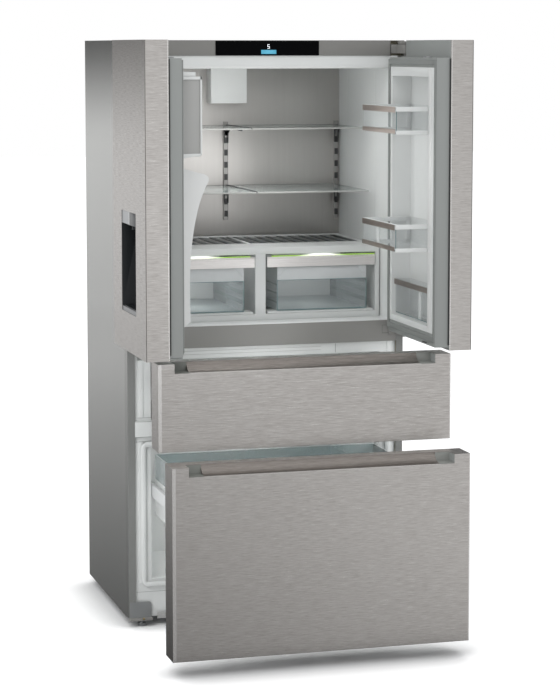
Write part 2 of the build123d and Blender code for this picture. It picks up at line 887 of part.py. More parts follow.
# Door hinges: bracket and arm with a pin at the top, plate with a pin at the bottom
arm_half = 11.0
bracket_margin = 2.0
bracket_side_gap = 5.0
leg_thickness = 3.5
leg_length = 33.0
leg_height = 17.0
plate_side_gap = 2.0
upper_arm_drop = 41.0
upper_arm_height = 28.0
upper_arm = (cabinet_height - upper_arm_drop, cabinet_height - upper_arm_drop + upper_arm_height)
upper_pin_length = 26.0
lower_plate_drop = 11.0
lower_plate_sheet = 6.0
lower_plate = (
    door_bottom - lower_plate_drop,
    door_bottom - lower_plate_drop + lower_plate_sheet,
)
lower_pin_length = 27.0
washer_radius = 9.0
washer_gap = 0.5
with BuildPart() as door_hinges:
    for side in (-1, 1):
        pin_spot = (side * hinge_x, y_at(-hinge_ahead))
        # Bracket screwed on beside the fascia
        bracket_x = sorted(
            (side * (fascia_half_width + bracket_margin), side * (half_width - bracket_side_gap))
        )
        cabinet_block(bracket_x, (0, fascia_depth), upper_arm)
        arm_x = (side * hinge_x - arm_half, side * hinge_x + arm_half)
        cabinet_block(arm_x, (-hinge_ahead, 0), upper_arm)
        with BuildSketch(Plane.XY.offset(upper_arm[0])):
            with Locations(pin_spot):
                Circle(arm_half)
        extrude(amount=upper_arm[1] - upper_arm[0])
        with BuildSketch(Plane.XY.offset(upper_arm[0] - upper_pin_length)):
            with Locations(pin_spot):
                Circle(pin_radius)
        extrude(amount=upper_pin_length)
        # Lower plate and its upright leg on the crossbar
        plate_x = sorted((side * (hinge_x - arm_half), side * (half_width - plate_side_gap)))
        cabinet_block(plate_x, (-hinge_ahead, 0), lower_plate)
        leg_x = sorted((side * (hinge_x - leg_length), side * (half_width - plate_side_gap)))
        cabinet_block(leg_x, (-leg_thickness, 0), (lower_plate[0], lower_plate[0] + leg_height))
        with BuildSketch(Plane.XY.offset(lower_plate[0])):
            with Locations(pin_spot):
                Circle(arm_half)
        extrude(amount=lower_plate[1] - lower_plate[0])
        with BuildSketch(Plane.XY.offset(lower_plate[1])):
            with Locations(pin_spot):
                Circle(washer_radius)
        extrude(amount=door_bottom - lower_plate[1] - washer_gap)
        with BuildSketch(Plane.XY.offset(lower_plate[1])):
            with Locations(pin_spot):
                Circle(pin_radius)
        extrude(amount=lower_pin_length)
save(door_hinges.part, "door_hinges")

# Levelling feet at the front: disc, collar under the base and stem through it
with BuildPart() as front_feet:
    for side in (-1, 1):
        spot = (side * foot_place, y_at(foot_depth))
        with BuildSketch(Plane.XY):
            with Locations(spot):
                RegularPolygon(foot_radius, 24)
        extrude(amount=foot_disc)
        with BuildSketch(Plane.XY.offset(foot_disc)):
            with Locations(spot):
                Circle(foot_stem_radius)
        extrude(amount=foot_stem_top - foot_disc)
        with BuildSketch(Plane.XY.offset(bracket_bottom - foot_nut_height)):
            with Locations(spot):
                RegularPolygon(foot_nut_radius, 6)
        extrude(amount=foot_nut_height)
save(front_feet.part, "front_feet")

# Rear rollers: two wheels on stub axles that turn in the forks
with BuildPart() as rear_rollers:
    for side in (-1, 1):
        wheel_start = side * roller_place - roller_width / 2
        with BuildSketch(Plane.YZ.offset(wheel_start)):
            with Locations((y_at(roller_depth), roller_radius)):
                Circle(roller_radius)
        extrude(amount=roller_width)
        axle_start = wheel_start - fork_gap - fork_thickness
        with BuildSketch(Plane.YZ.offset(axle_start)):
            with Locations((y_at(roller_depth), roller_radius)):
                Circle(roller_axle_radius)
        extrude(amount=roller_width + 2 * (fork_gap + fork_thickness))
save(rear_rollers.part, "rear_rollers")

# Compressor: domed casing on a foot plate with four rubber mounts, and its pipe stubs
machine_middle_gap = 115.0
machine_middle = cabinet_depth - machine_middle_gap
compressor_side_gap = 204.0
compressor_place = (half_width - compressor_side_gap, machine_middle)
compressor_radius = 82.0
compressor_stretch = 22.0
compressor_bottom = 52.0
compressor_height = 165.0
compressor_dome = 45.0
compressor_foot_round = 20.0
compressor_plate = (210.0, 120.0, 4.0)
compressor_plate_corner = 12.0
mount_radius = 13.0
mount_spread = (170.0, 84.0)
with BuildPart() as compressor:
    spot = (compressor_place[0], y_at(compressor_place[1]))
    base_top = cabinet_bottom + base_sheet
    with BuildSketch(Plane.XY.offset(compressor_bottom)):
        with Locations(spot):
            SlotOverall(2 * (compressor_radius + compressor_stretch), 2 * compressor_radius)
    extrude(amount=compressor_height)
    fillet(compressor.edges().group_by(Axis.Z)[-1], radius=compressor_dome)
    fillet(compressor.edges().group_by(Axis.Z)[0], radius=compressor_foot_round)
    with BuildSketch(Plane.XY.offset(compressor_bottom - compressor_plate[2])):
        with Locations(spot):
            RectangleRounded(compressor_plate[0], compressor_plate[1], compressor_plate_corner)
    extrude(amount=compressor_plate[2])
    with BuildSketch(Plane.XY.offset(base_top)):
        with Locations(spot):
            with GridLocations(mount_spread[0], mount_spread[1], 2, 2):
                Circle(mount_radius)
    extrude(amount=compressor_bottom - compressor_plate[2] - base_top)
save(compressor.part, "compressor")

# Condenser: finned tube block with a fan shroud on its side, standing on the base
condenser_side_gap = 154.0
condenser_length = 230.0
condenser_start = condenser_side_gap - half_width
condenser_x = (condenser_start, condenser_start + condenser_length)
condenser_half_depth = 85.0
condenser_y = (machine_middle - condenser_half_depth, machine_middle + condenser_half_depth)
condenser_z = (50.0, 250.0)
fin_pitch = 12.0
fin_thickness = 1.5
tube_radius = 4.0
fan_radius = 78.0
fan_centre = (machine_middle, 150.0)
shroud_thickness = 24.0
shroud_clearance = 3.0
shroud_arm_width = 8.0
motor_radius = 22.0
motor_length = 8.0
condenser_foot = 12.0
with BuildPart() as condenser:
    fin_count = int((condenser_x[1] - condenser_x[0]) // fin_pitch)
    for index in range(fin_count):
        fin_x = condenser_x[0] + index * fin_pitch
        cabinet_block((fin_x, fin_x + fin_thickness), condenser_y, condenser_z)
    tube_rows = 4
    tube_columns = 3
    row_step = (condenser_z[1] - condenser_z[0]) / (tube_rows + 1)
    column_step = (condenser_y[1] - condenser_y[0]) / (tube_columns + 1)
    tube_middle = (y_at((condenser_y[0] + condenser_y[1]) / 2), (condenser_z[0] + condenser_z[1]) / 2)
    with BuildSketch(Plane.YZ.offset(condenser_x[0])):
        with Locations(tube_middle):
            with GridLocations(column_step, row_step, tube_columns, tube_rows):
                Circle(tube_radius)
    extrude(amount=condenser_x[1] - condenser_x[0])
    # Shroud with a round opening, and a motor held by three arms
    shroud_x = (condenser_x[1], condenser_x[1] + shroud_thickness)
    cabinet_block(shroud_x, condenser_y, (cabinet_bottom + base_sheet, condenser_z[1]))
    shroud_plane = Plane.YZ.offset(shroud_x[0])
    shroud_arm = fan_radius + 2 * shroud_clearance
    with BuildSketch(shroud_plane):
        with Locations((y_at(fan_centre[0]), fan_centre[1])):
            Circle(fan_radius + shroud_clearance)
    extrude(amount=shroud_thickness, mode=Mode.SUBTRACT)
    with BuildSketch(shroud_plane):
        with Locations((y_at(fan_centre[0]), fan_centre[1])):
            Circle(motor_radius)
            for turn in (90, 210, 330):
                with PolarLocations(shroud_arm / 2, 1, start_angle=turn):
                    Rectangle(shroud_arm, shroud_arm_width)
    extrude(amount=motor_length)
    # Feet under the fin block
    foot_z = (cabinet_bottom + base_sheet, condenser_z[0] + fin_thickness)
    cabinet_block((condenser_x[0], condenser_x[0] + condenser_foot), condenser_y, foot_z)
    cabinet_block((condenser_x[1] - condenser_foot, condenser_x[1]), condenser_y, foot_z)
save(condenser.part, "condenser")

# Condenser fan: hub with five flat blades, in front of its motor
blade_count = 5
blade_thickness = 2.0
blade_width = 34.0
hub_radius = 20.0
hub_length = 12.0
hub_gap = 1.0
blade_start = 4.0
with BuildPart() as condenser_fan:
    hub_start = condenser_x[1] + motor_length + hub_gap
    hub_plane = Plane.YZ.offset(hub_start)
    with BuildSketch(hub_plane):
        with Locations((y_at(fan_centre[0]), fan_centre[1])):
            Circle(hub_radius)
    extrude(amount=hub_length)
    with BuildSketch(Plane.YZ.offset(hub_start + blade_start)):
        with Locations((y_at(fan_centre[0]), fan_centre[1])):
            for index in range(blade_count):
                with PolarLocations(0, 1, start_angle=index * 360 / blade_count):
                    with Locations((fan_radius / 2, 0)):
                        Rectangle(fan_radius, blade_width)
            Circle(fan_radius, mode=Mode.INTERSECT)
    extrude(amount=blade_thickness)
save(condenser_fan.part, "condenser_fan")

# Evaporator: finned block on its pocket's floor behind the drawer compartments
evaporator_side_gap = 20.0
evaporator_top_gap = 60.0
evaporator_front_gap = 4.0
evaporator_rear_gap = 6.0
evaporator_fin_pitch = 20.0
evaporator_tube_rows = 8
evaporator_tube_columns = 24.0
with BuildPart() as evaporator:
    fin_z = (evaporator_height[0], evaporator_height[1] - evaporator_top_gap)
    fin_y = (evaporator_depth[0] + evaporator_front_gap, evaporator_depth[1] - evaporator_rear_gap)
    tube_half = evaporator_half - evaporator_side_gap
    for index in range(int(2 * tube_half // evaporator_fin_pitch) + 1):
        fin_x = -tube_half + index * evaporator_fin_pitch
        cabinet_block((fin_x, fin_x + fin_thickness), fin_y, fin_z)
    tube_step = (fin_z[1] - fin_z[0]) / (evaporator_tube_rows + 1)
    with BuildSketch(Plane.YZ.offset(-tube_half)):
        with Locations((y_at((fin_y[0] + fin_y[1]) / 2), (fin_z[0] + fin_z[1]) / 2)):
            with GridLocations(evaporator_tube_columns, tube_step, 2, evaporator_tube_rows):
                Circle(tube_radius)
    extrude(amount=2 * tube_half)
save(evaporator.part, "evaporator")


# Doors
hinge_pocket_along = 42.0
hinge_pocket_inward = 36.0
hinge_pocket_drop = 49.0
hinge_pocket_bottom = cabinet_height - hinge_pocket_drop
pin_hole_radius = pin_radius + pin_clearance
pin_end_gap = 2.0
seal_hinge_edge = 5.0
seal_free_gap = 11.0
seal_free_edge = door_width - seal_free_gap
seal_free_width = 12.0
seal_edge = 13.0
seal_bottom = door_frame_bottom + seal_edge
seal_top_edge = 5.0
seal_top = door_frame_top - seal_top_edge
centre_seal_proud = 2.0
centre_seal_edge = 8.0
centre_seal_top_edge = 2.0
liner_edge = 24.0
liner_bottom_edge = 48.0
liner_top_drop = 82.0
liner_along = (liner_edge, door_width - liner_edge)
liner_height = (door_bottom + liner_bottom_edge, cabinet_height - liner_top_drop)
recess_hinge_edge = 38.0
recess_free_edge = 49.0
recess_bottom_edge = 64.0
recess_top_drop = 108.0
recess_along = (recess_hinge_edge, door_width - recess_free_edge)
recess_height = (door_bottom + recess_bottom_edge, cabinet_height - recess_top_drop)
left_recess_tall = 249.0
left_recess_bottom = recess_height[1] - left_recess_tall
recess_inward = 50.0
dispenser_hinge_edge = 119.0
dispenser_width = 199.0
dispenser_bottom_edge = 117.0
dispenser_top_gap = 150.0
dispenser_along = (dispenser_hinge_edge, dispenser_hinge_edge + dispenser_width)
dispenser_height = (door_bottom + dispenser_bottom_edge, left_recess_bottom - dispenser_top_gap)
dispenser_depth = 62.0
dispenser_wall = 2.0
door_liner_wall = 2.0


def door_skin(side, opening=False):
    """Steel wrap of a door: outer face and the two returned edges."""
    t = front_sheet
    with BuildPart() as skin:
        door_block(side, (0, door_width), (0, door_steel_depth), (door_bottom, cabinet_height))
        door_block(
            side,
            (t, door_width - t),
            (t, door_steel_depth),
            (door_bottom, cabinet_height),
            Mode.SUBTRACT,
        )
        # Notch in the hinge edge, where the upper arm comes in
        door_block(
            side,
            (-t, 2 * t),
            (hinge_pocket_inward, door_steel_depth),
            (hinge_pocket_bottom, cabinet_height),
            Mode.SUBTRACT,
        )
        if opening:
            door_block(side, dispenser_along, (-t, 2 * t), dispenser_height, Mode.SUBTRACT)
    return skin.part


def door_frame(side, recess, opening=False):
    """Foamed body of a door: core in the steel wrap and the grey frame behind it."""
    t = front_sheet
    with BuildPart() as frame:
        door_block(side, (t, door_width - t), (t, door_steel_depth), (door_bottom, cabinet_height))
        with BuildSketch(Plane.XY.offset(door_frame_bottom)):
            with BuildLine():
                door_outline(
                    side,
                    [
                        (door_frame_inset, door_steel_depth),
                        (door_frame_inset, door_frame_depth),
                        (door_width - door_frame_inset - door_frame_slope, door_frame_depth),
                        (door_width - door_frame_inset, door_steel_depth + door_frame_inset),
                        (door_width - door_frame_inset, door_steel_depth),
                    ],
                )
            make_face()
        extrude(amount=door_frame_top - door_frame_bottom)
        # Pocket for the upper hinge arm
        door_block(
            side,
            (0, hinge_pocket_along),
            (hinge_pocket_inward, door_frame_depth),
            (hinge_pocket_bottom, cabinet_height),
            Mode.SUBTRACT,
        )
        # Blind holes for the two pins
        pin_spot = (side * hinge_x, y_at(-hinge_ahead))
        upper_hole_bottom = upper_arm[0] - upper_pin_length - pin_end_gap
        with BuildSketch(Plane.XY.offset(upper_hole_bottom)):
            with Locations(pin_spot):
                Circle(pin_hole_radius)
        extrude(amount=hinge_pocket_bottom - upper_hole_bottom, mode=Mode.SUBTRACT)
        with BuildSketch(Plane.XY.offset(door_bottom)):
            with Locations(pin_spot):
                Circle(pin_hole_radius)
        lower_hole = lower_plate[1] + lower_pin_length + pin_end_gap - door_bottom
        extrude(amount=lower_hole, mode=Mode.SUBTRACT)
        # Room for the liner's tub
        door_block(side, recess[0], (recess_inward, door_frame_depth), recess[1], Mode.SUBTRACT)
        if opening:
            w = dispenser_wall
            door_block(
                side,
                (dispenser_along[0] - w, dispenser_along[1] + w),
                (t, dispenser_depth + w),
                (dispenser_height[0] - w, dispenser_height[1] + w),
                Mode.SUBTRACT,
            )
    return frame.part


def door_liner(side, recess):
    """White inner liner: a flat rim round a tub."""
    w = door_liner_wall
    inner_along = (recess[0][0] + w, recess[0][1] - w)
    inner_height = (recess[1][0] + w, recess[1][1] - w)
    rim = (door_frame_depth, door_frame_depth + door_liner_proud)
    with BuildPart() as liner:
        door_block(side, liner_along, rim, liner_height)
        door_block(side, recess[0], (recess_inward, door_frame_depth), recess[1])
        door_block(
            side, inner_along, (recess_inward + w, rim[1]), inner_height, Mode.SUBTRACT
        )
    return liner.part


def door_seal(side):
    """Seal round the inner face, and the strip on the free edge that meets the other door."""
    outer_along = (seal_hinge_edge, seal_free_edge)
    outer_height = (seal_bottom, seal_top)
    w = seal_width
    with BuildPart() as seal:
        depth = (door_frame_depth, door_frame_depth + seal_proud)
        door_block(side, outer_along, depth, outer_height)
        door_block(
            side,
            (outer_along[0] + w, outer_along[1] - seal_free_width),
            depth,
            (outer_height[0] + w, outer_height[1] - w),
            Mode.SUBTRACT,
        )
        edge = door_width - door_frame_inset
        door_block(
            side,
            (edge, door_width + centre_seal_proud),
            (door_steel_depth, door_steel_depth + door_frame_inset),
            (door_frame_bottom + centre_seal_edge, door_frame_top - centre_seal_top_edge),
        )
    return seal.part


right_recess = (recess_along, recess_height)
left_recess = (recess_along, (left_recess_bottom, recess_height[1]))
for name, side, recess, opening in (
    ("left_door", -1, left_recess, True),
    ("right_door", 1, right_recess, False),
):
    save(door_skin(side, opening), f"{name}_skin")
    save(door_frame(side, recess, opening), f"{name}_frame")
    save(door_liner(side, recess), f"{name}_liner")
    save(door_seal(side), f"{name}_seal")

# Dispenser housing: tub with a nozzle block at the top, paddle lugs and a tray lip
nozzle_block_height = 39.0
nozzle_block_bottom = dispenser_height[1] - nozzle_block_height
nozzle_block_depth = 50.0
tray_lip_height = 13.0
tray_lip_top = dispenser_height[0] + tray_lip_height
nozzle_radius = 9.0
nozzle_length = 14.0
nozzle_inward = 20.0
paddle_width = 47.0
paddle_middle = dispenser_hinge_edge + dispenser_width / 2
paddle_along = (paddle_middle - paddle_width / 2, paddle_middle + paddle_width / 2)
paddle_set_back = 34.0
paddle_thickness = 4.0
paddle_inward = (paddle_set_back, paddle_set_back + paddle_thickness)
paddle_axle_drop = 15.0
paddle_axle_height = nozzle_block_bottom - paddle_axle_drop
# The paddle ends just under the middle of the space between its axle and the tray.
paddle_offset = 6.0
paddle_bottom = (tray_lip_top + paddle_axle_height) / 2 - paddle_offset
paddle_axle_radius = 2.5
paddle_rise = 4.0
paddle_corner = 8.0
lug_thickness = 4.0
lug_gap = 1.0
lug_half = 6.0
lug_drop = 7.0
axle_inward = (paddle_inward[0] + paddle_inward[1]) / 2
with BuildPart() as dispenser_housing:
    w = dispenser_wall
    door_block(
        -1,
        (dispenser_along[0] - w, dispenser_along[1] + w),
        (front_sheet, dispenser_depth + w),
        (dispenser_height[0] - w, dispenser_height[1] + w),
    )
    door_block(-1, dispenser_along, (0, dispenser_depth), dispenser_height, Mode.SUBTRACT)
    door_block(
        -1,
        dispenser_along,
        (2 * front_sheet, nozzle_block_depth),
        (nozzle_block_bottom, dispenser_height[1]),
    )
    door_block(
        -1, dispenser_along, (2 * front_sheet, dispenser_depth), (dispenser_height[0], tray_lip_top)
    )
    # Nozzle under the block, ahead of the paddle
    nozzle_middle = (door_x(-1, nozzle_inward), door_y((paddle_along[0] + paddle_along[1]) / 2))
    with BuildSketch(Plane.XY.offset(nozzle_block_bottom - nozzle_length)):
        with Locations(nozzle_middle):
            Circle(nozzle_radius)
    extrude(amount=nozzle_length)
    for lug_start in (paddle_along[0] - lug_gap - lug_thickness, paddle_along[1] + lug_gap):
        door_block(
            -1,
            (lug_start, lug_start + lug_thickness),
            (axle_inward - lug_half, axle_inward + lug_half),
            (paddle_axle_height - lug_drop, nozzle_block_bottom),
        )
    axle_plane = Plane.XZ.offset(-door_y(paddle_along[0] - 2 * lug_thickness))
    with BuildSketch(axle_plane):
        with Locations((door_x(-1, axle_inward), paddle_axle_height)):
            Circle(paddle_axle_radius + pin_clearance)
    extrude(amount=paddle_along[1] - paddle_along[0] + 4 * lug_thickness, mode=Mode.SUBTRACT)
save(dispenser_housing.part, "dispenser_housing")

with BuildPart() as dispenser_paddle:
    door_block(-1, paddle_along, paddle_inward, (paddle_bottom, paddle_axle_height + paddle_rise))
    fillet(dispenser_paddle.edges().filter_by(Axis.X).group_by(Axis.Z)[0], radius=paddle_corner)
    axle_start = paddle_along[0] - lug_gap - lug_thickness
    with BuildSketch(Plane.XZ.offset(-door_y(axle_start))):
        with Locations((door_x(-1, axle_inward), paddle_axle_height)):
            Circle(paddle_axle_radius)
    extrude(amount=paddle_along[1] - paddle_along[0] + 2 * (lug_gap + lug_thickness))
save(dispenser_paddle.part, "dispenser_paddle")

# Drip grille on the tray lip
grille_thickness = 3.0
grille_slots = 13
grille_margin = 4.0
grille_slot_margin = 12.0
grille_slot_width = 5.0
with BuildPart() as drip_grille:
    along = (dispenser_along[0] + grille_margin, dispenser_along[1] - grille_margin)
    inward = (grille_margin + front_sheet, dispenser_depth - grille_margin)
    door_block(-1, along, inward, (tray_lip_top, tray_lip_top + grille_thickness))
    slot_pitch_along = (along[1] - along[0]) / (grille_slots + 1)
    grille_middle = (door_x(-1, (inward[0] + inward[1]) / 2), door_y((along[0] + along[1]) / 2))
    with BuildSketch(Plane.XY.offset(tray_lip_top)):
        with Locations(grille_middle):
            with GridLocations(1, slot_pitch_along, 1, grille_slots):
                SlotOverall(inward[1] - inward[0] - grille_slot_margin, grille_slot_width)
    extrude(amount=grille_thickness, mode=Mode.SUBTRACT)
save(drip_grille.part, "drip_grille")

# Curved white cover over the dispenser's inner side: bulging at the top, slim below
cover_hinge_edge = 100.0
cover_free_gap = 89.0
cover_along = (cover_hinge_edge, door_width - cover_free_gap)
cover_wall = 3.0
cover_base = door_frame_depth + door_liner_proud
cover_top = left_recess_bottom - 12.0
cover_foot = door_bottom + 71.0
# Each point of the curve: its distance inward from the door's face, and its drop from the top
cover_shoulder = (196.0, 22.0)
cover_bulge = (209.0, 32.0)
cover_under_bulge = (204.0, 53.0)
cover_flank = (180.0, 115.0)
cover_waist = (164.0, 189.0)
cover_straight = (155.0, 268.0)
cover_toe = (154.0, 31.0)


def cover_side(along, inset):
    """Side profile of the cover, drawn a wall thickness smaller for its inside."""
    top = cover_top - inset
    foot = cover_foot + inset
    drops = [
        cover_shoulder,
        cover_bulge,
        cover_under_bulge,
        cover_flank,
        cover_waist,
        cover_straight,
    ]
    curve = [(door_x(-1, inward - inset), cover_top - drop) for inward, drop in drops]
    curve.append((door_x(-1, cover_toe[0] - inset), cover_foot + cover_toe[1]))
    base = door_x(-1, cover_base)
    with BuildSketch(Plane.XZ.offset(-door_y(along))) as outline:
        with BuildLine():
            Line((base, top), curve[0])
            Spline(*curve[0:3])
            Spline(*curve[2:7])
            Line(curve[6], (base, foot))
            Line((base, foot), (base, top))
        make_face()
    return outline.sketch


with BuildPart() as dispenser_cover:
    extrude(cover_side(cover_along[0], 0), amount=cover_along[1] - cover_along[0])
    inner_length = cover_along[1] - cover_along[0] - 2 * cover_wall
    extrude(
        cover_side(cover_along[0] + cover_wall, cover_wall), amount=inner_length, mode=Mode.SUBTRACT
    )
save(dispenser_cover.part, "dispenser_cover")

# Box above the dispenser cover, closed by the liner behind it
left_box_hinge_edge = 62.0
left_box_free_gap = 59.0
left_box_along = (left_box_hinge_edge, door_width - left_box_free_gap)
left_box_inward = 178.0
left_box_gap = 19.0
left_box_top_gap = 7.0
left_box_height = (left_recess_bottom + left_box_gap, recess_height[1] - left_box_top_gap)
left_lid_inward = 164.0
left_lid_gap = 5.0
left_lid_top = fridge_ceiling - left_lid_gap
box_shell = 3.0
box_corner = 8.0
with BuildPart() as left_door_box:
    box_back = recess_inward + door_liner_wall
    door_block(-1, left_box_along, (box_back, left_box_inward), left_box_height)
    vertical = left_door_box.edges().filter_by(Axis.Z).group_by(Axis.X)[-1]
    fillet(vertical, radius=box_corner)
    inner_along = (left_box_along[0] + box_shell, left_box_along[1] - box_shell)
    door_block(
        -1,
        inner_along,
        (box_back, left_box_inward - box_shell),
        (left_box_height[0] + box_shell, left_box_height[1] - box_shell),
        Mode.SUBTRACT,
    )
    # Narrower cap on top of the box
    door_block(-1, left_box_along, (cover_base, left_lid_inward), (left_box_height[1], left_lid_top))
    door_block(
        -1,
        inner_along,
        (cover_base, left_lid_inward - box_shell),
        (left_box_height[1], left_lid_top - box_shell),
        Mode.SUBTRACT,
    )
save(left_door_box.part, "left_door_box")


# Right door bins: open boxes with steel bars along the rim and the foot of the front
bin_wall = 3.0
bin_bar_proud = 3.0
bin_corner = 8.0


def door_bin(along, inward, z, bars):
    """Open bin with rounded bottom edges and raised bars on its front."""
    wall = bin_wall
    with BuildPart() as tray:
        door_block(1, along, inward, z)
        fillet(tray.edges().group_by(Axis.Z)[0].filter_by(Axis.Y), radius=bin_corner)
        door_block(
            1,
            (along[0] + wall, along[1] - wall),
            (inward[0] + wall, inward[1] - wall),
            (z[0] + wall, z[1]),
            Mode.SUBTRACT,
        )
        for bar in bars:
            door_block(1, along, (inward[1], inward[1] + bin_bar_proud), bar)
    return tray.part


bin_back = recess_inward + door_liner_wall
bin_hinge_edge = 59.0
bin_free_gap = 79.0
bin_along = (bin_hinge_edge, door_width - bin_free_gap)
bin_front = 215.0
bin_height = 83.0
upper_bin_drop = 174.0
upper_bin_bottom = recess_height[1] - upper_bin_drop
low_bin_hinge_edge = 42.0
low_bin_free_gap = 53.0
low_bin_along = (low_bin_hinge_edge, door_width - low_bin_free_gap)
low_bin_front = 102.0
low_bin_height = 110.0
low_bin_gap = 5.0
low_bin_bottom = recess_height[0] + low_bin_gap
# The middle bin hangs a little below the middle between the other two.
middle_bin_offset = 65.0
middle_bin_bottom = (upper_bin_bottom + low_bin_bottom) / 2 - middle_bin_offset
bar_height = 17.0
foot_bar_height = 13.0
bar_edge = 3.0
for name, along, front, bottom, height in (
    ("right_upper_bin", bin_along, bin_front, upper_bin_bottom, bin_height),
    ("right_middle_bin", bin_along, bin_front, middle_bin_bottom, bin_height),
    ("right_lower_bin", low_bin_along, low_bin_front, low_bin_bottom, low_bin_height),
):
    top = bottom + height
    bars = [(top - bar_height, top)]
    if height == bin_height:
        bars.append((bottom + bar_edge, bottom + bar_edge + foot_bar_height))
    save(door_bin(along, (bin_back, front), (bottom, top), bars), name)


# Drawers
def closed_y(depth, pull):
    """Y of a plane of a drawer that is pulled out, from its depth when closed."""
    return y_at(depth - pull)


def drawer_block(x, depth, pull, z, mode=Mode.ADD):
    """Box in a drawer, with its depth range given for the closed drawer."""
    block(x, (closed_y(depth[0], pull), closed_y(depth[1], pull)), z, mode=mode)


def drawer_skin(z, pull):
    """Steel wrap of a drawer front, open to the back and cut out for the grip."""
    t = front_sheet
    half = front_width / 2
    face = -closed_front
    with BuildPart() as skin:
        drawer_block((-half, half), (face, face + front_steel_depth), pull, z)
        drawer_block(
            (-half + t, half - t),
            (face + t, face + front_steel_depth),
            pull,
            (z[0] + t, z[1] - t),
            Mode.SUBTRACT,
        )
        drawer_block(
            (-grip_half_width, grip_half_width),
            (face - t, face + grip_depth),
            pull,
            (z[1] - grip_height, z[1] + t),
            Mode.SUBTRACT,
        )
    return skin.part


def drawer_panel(z, pull):
    """Foamed body of a drawer front with its white inner panel."""
    t = front_sheet
    half = front_width / 2
    face = -closed_front
    inset = front_panel_inset
    with BuildPart() as panel:
        drawer_block(
            (-half + t, half - t), (face + t, face + front_steel_depth), pull, (z[0] + t, z[1] - t)
        )
        drawer_block(
            (-half + inset, half - inset),
            (face + front_steel_depth, face + front_panel_depth),
            pull,
            (z[0] + inset, z[1] - inset),
        )
        drawer_block(
            (-grip_half_width, grip_half_width),
            (face, face + grip_depth),
            pull,
            (z[1] - grip_height, z[1]),
            Mode.SUBTRACT,
        )
    return panel.part


def drawer_grip(z_top, pull):
    """Hollowed grip bar in the recess, with an end piece at each side."""
    face = -closed_front
    with BuildPart() as grip:
        with BuildSketch(Plane.YZ.offset(-grip_bar_half_width)):
            with BuildLine():
                front = closed_y(face + grip_sheet, pull)
                back = closed_y(face + grip_depth, pull)
                low = z_top - grip_height
                bend = (
                    (front + back) / 2 + grip_hollow_back,
                    (low + z_top) / 2 - grip_hollow_down,
                )
                ThreePointArc((front, low + grip_sheet), bend, (back - grip_sheet, z_top))
                Line((back - grip_sheet, z_top), (back, z_top))
                Line((back, z_top), (back, low))
                Line((back, low), (front, low))
                Line((front, low), (front, low + grip_sheet))
            make_face()
        extrude(amount=2 * grip_bar_half_width)
        for side in (-1, 1):
            xs = sorted((side * grip_bar_half_width, side * grip_half_width))
            drawer_block(
                xs,
                (face + grip_depth - grip_end_sheet, face + grip_depth),
                pull,
                (z_top - grip_height, z_top),
            )
            drawer_block(
                xs,
                (face + front_sheet, face + grip_depth),
                pull,
                (z_top - grip_height, z_top - grip_height + grip_sheet),
            )
    return grip.part


def drawer_seal(z, pull):
    """Seal ring on the inner panel."""
    half = front_width / 2
    face = -closed_front
    edge = drawer_seal_edge
    with BuildPart() as seal:
        depth = (face + front_panel_depth, face + front_panel_depth + drawer_seal_proud)
        drawer_block((-half + edge, half - edge), depth, pull, (z[0] + edge, z[1] - edge))
        drawer_block(
            (-half + edge + seal_width, half - edge - seal_width),
            depth,
            pull,
            (z[0] + edge + seal_width, z[1] - edge - seal_width),
            Mode.SUBTRACT,
        )
    return seal.part


# Three stages of a slide rail, each nested in the one outside it
fixed_web = (compartment_half - rail_sheet, compartment_half)
stage_web = (fixed_web[0] - rail_clearance - rail_sheet, fixed_web[0] - rail_clearance)
lip_inner = box_half_width + rail_sheet + rail_clearance
fixed_height = 22.0
stage_height = fixed_height - rail_sheet - rail_clearance
moving_height = stage_height - rail_sheet - rail_clearance


def rail_channel(web, lip_start, half_height, z, y):
    """Pair of channels, one at each side, opening towards the middle."""
    for side in (-1, 1):
        xs = sorted((side * web[0], side * web[1]))
        block(xs, y, (z - half_height, z + half_height))
        lips = sorted((side * lip_start, side * web[1]))
        for edge in (-1, 1):
            zs = sorted((z + edge * half_height, z + edge * (half_height - rail_sheet)))
            block(lips, y, zs)


def fixed_rail(z):
    """Outer rails of one drawer, on the compartment's walls."""
    y = (y_at(rail_front_depth), y_at(rail_front_depth + rail_length))
    rail_channel(fixed_web, lip_inner + rail_lip_set_back, fixed_height, z, y)


def stage_rail(z, pull):
    """Middle rails of one drawer, half as far out as the drawer."""
    y = (y_at(rail_front_depth - pull / 2), y_at(rail_front_depth + rail_length - pull / 2))
    with BuildPart() as stage:
        rail_channel(stage_web, lip_inner, stage_height, z, y)
    return stage.part


def moving_rail(z, pull):
    """Inner rails on the box's sides, with a tongue that runs in the middle rails."""
    start = rail_front_depth - moving_rail_set_back
    y = (closed_y(start, pull), closed_y(start + rail_length, pull))
    tongue_height = moving_height - tongue_set_back
    with BuildPart() as rail:
        for side in (-1, 1):
            xs = sorted((side * box_half_width, side * (box_half_width + rail_sheet)))
            block(xs, y, (z - moving_height, z + moving_height))
            tongue = sorted((side * box_half_width, side * (stage_web[0] - rail_clearance)))
            block(tongue, y, (z - tongue_height, z - tongue_height + rail_sheet))
            block(tongue, y, (z + tongue_height - rail_sheet, z + tongue_height))
    return rail.part


with BuildPart() as fixed_rails:
    for height in (middle_rail_height, bottom_rail_height):
        fixed_rail(height)
save(fixed_rails.part, "fixed_rails")

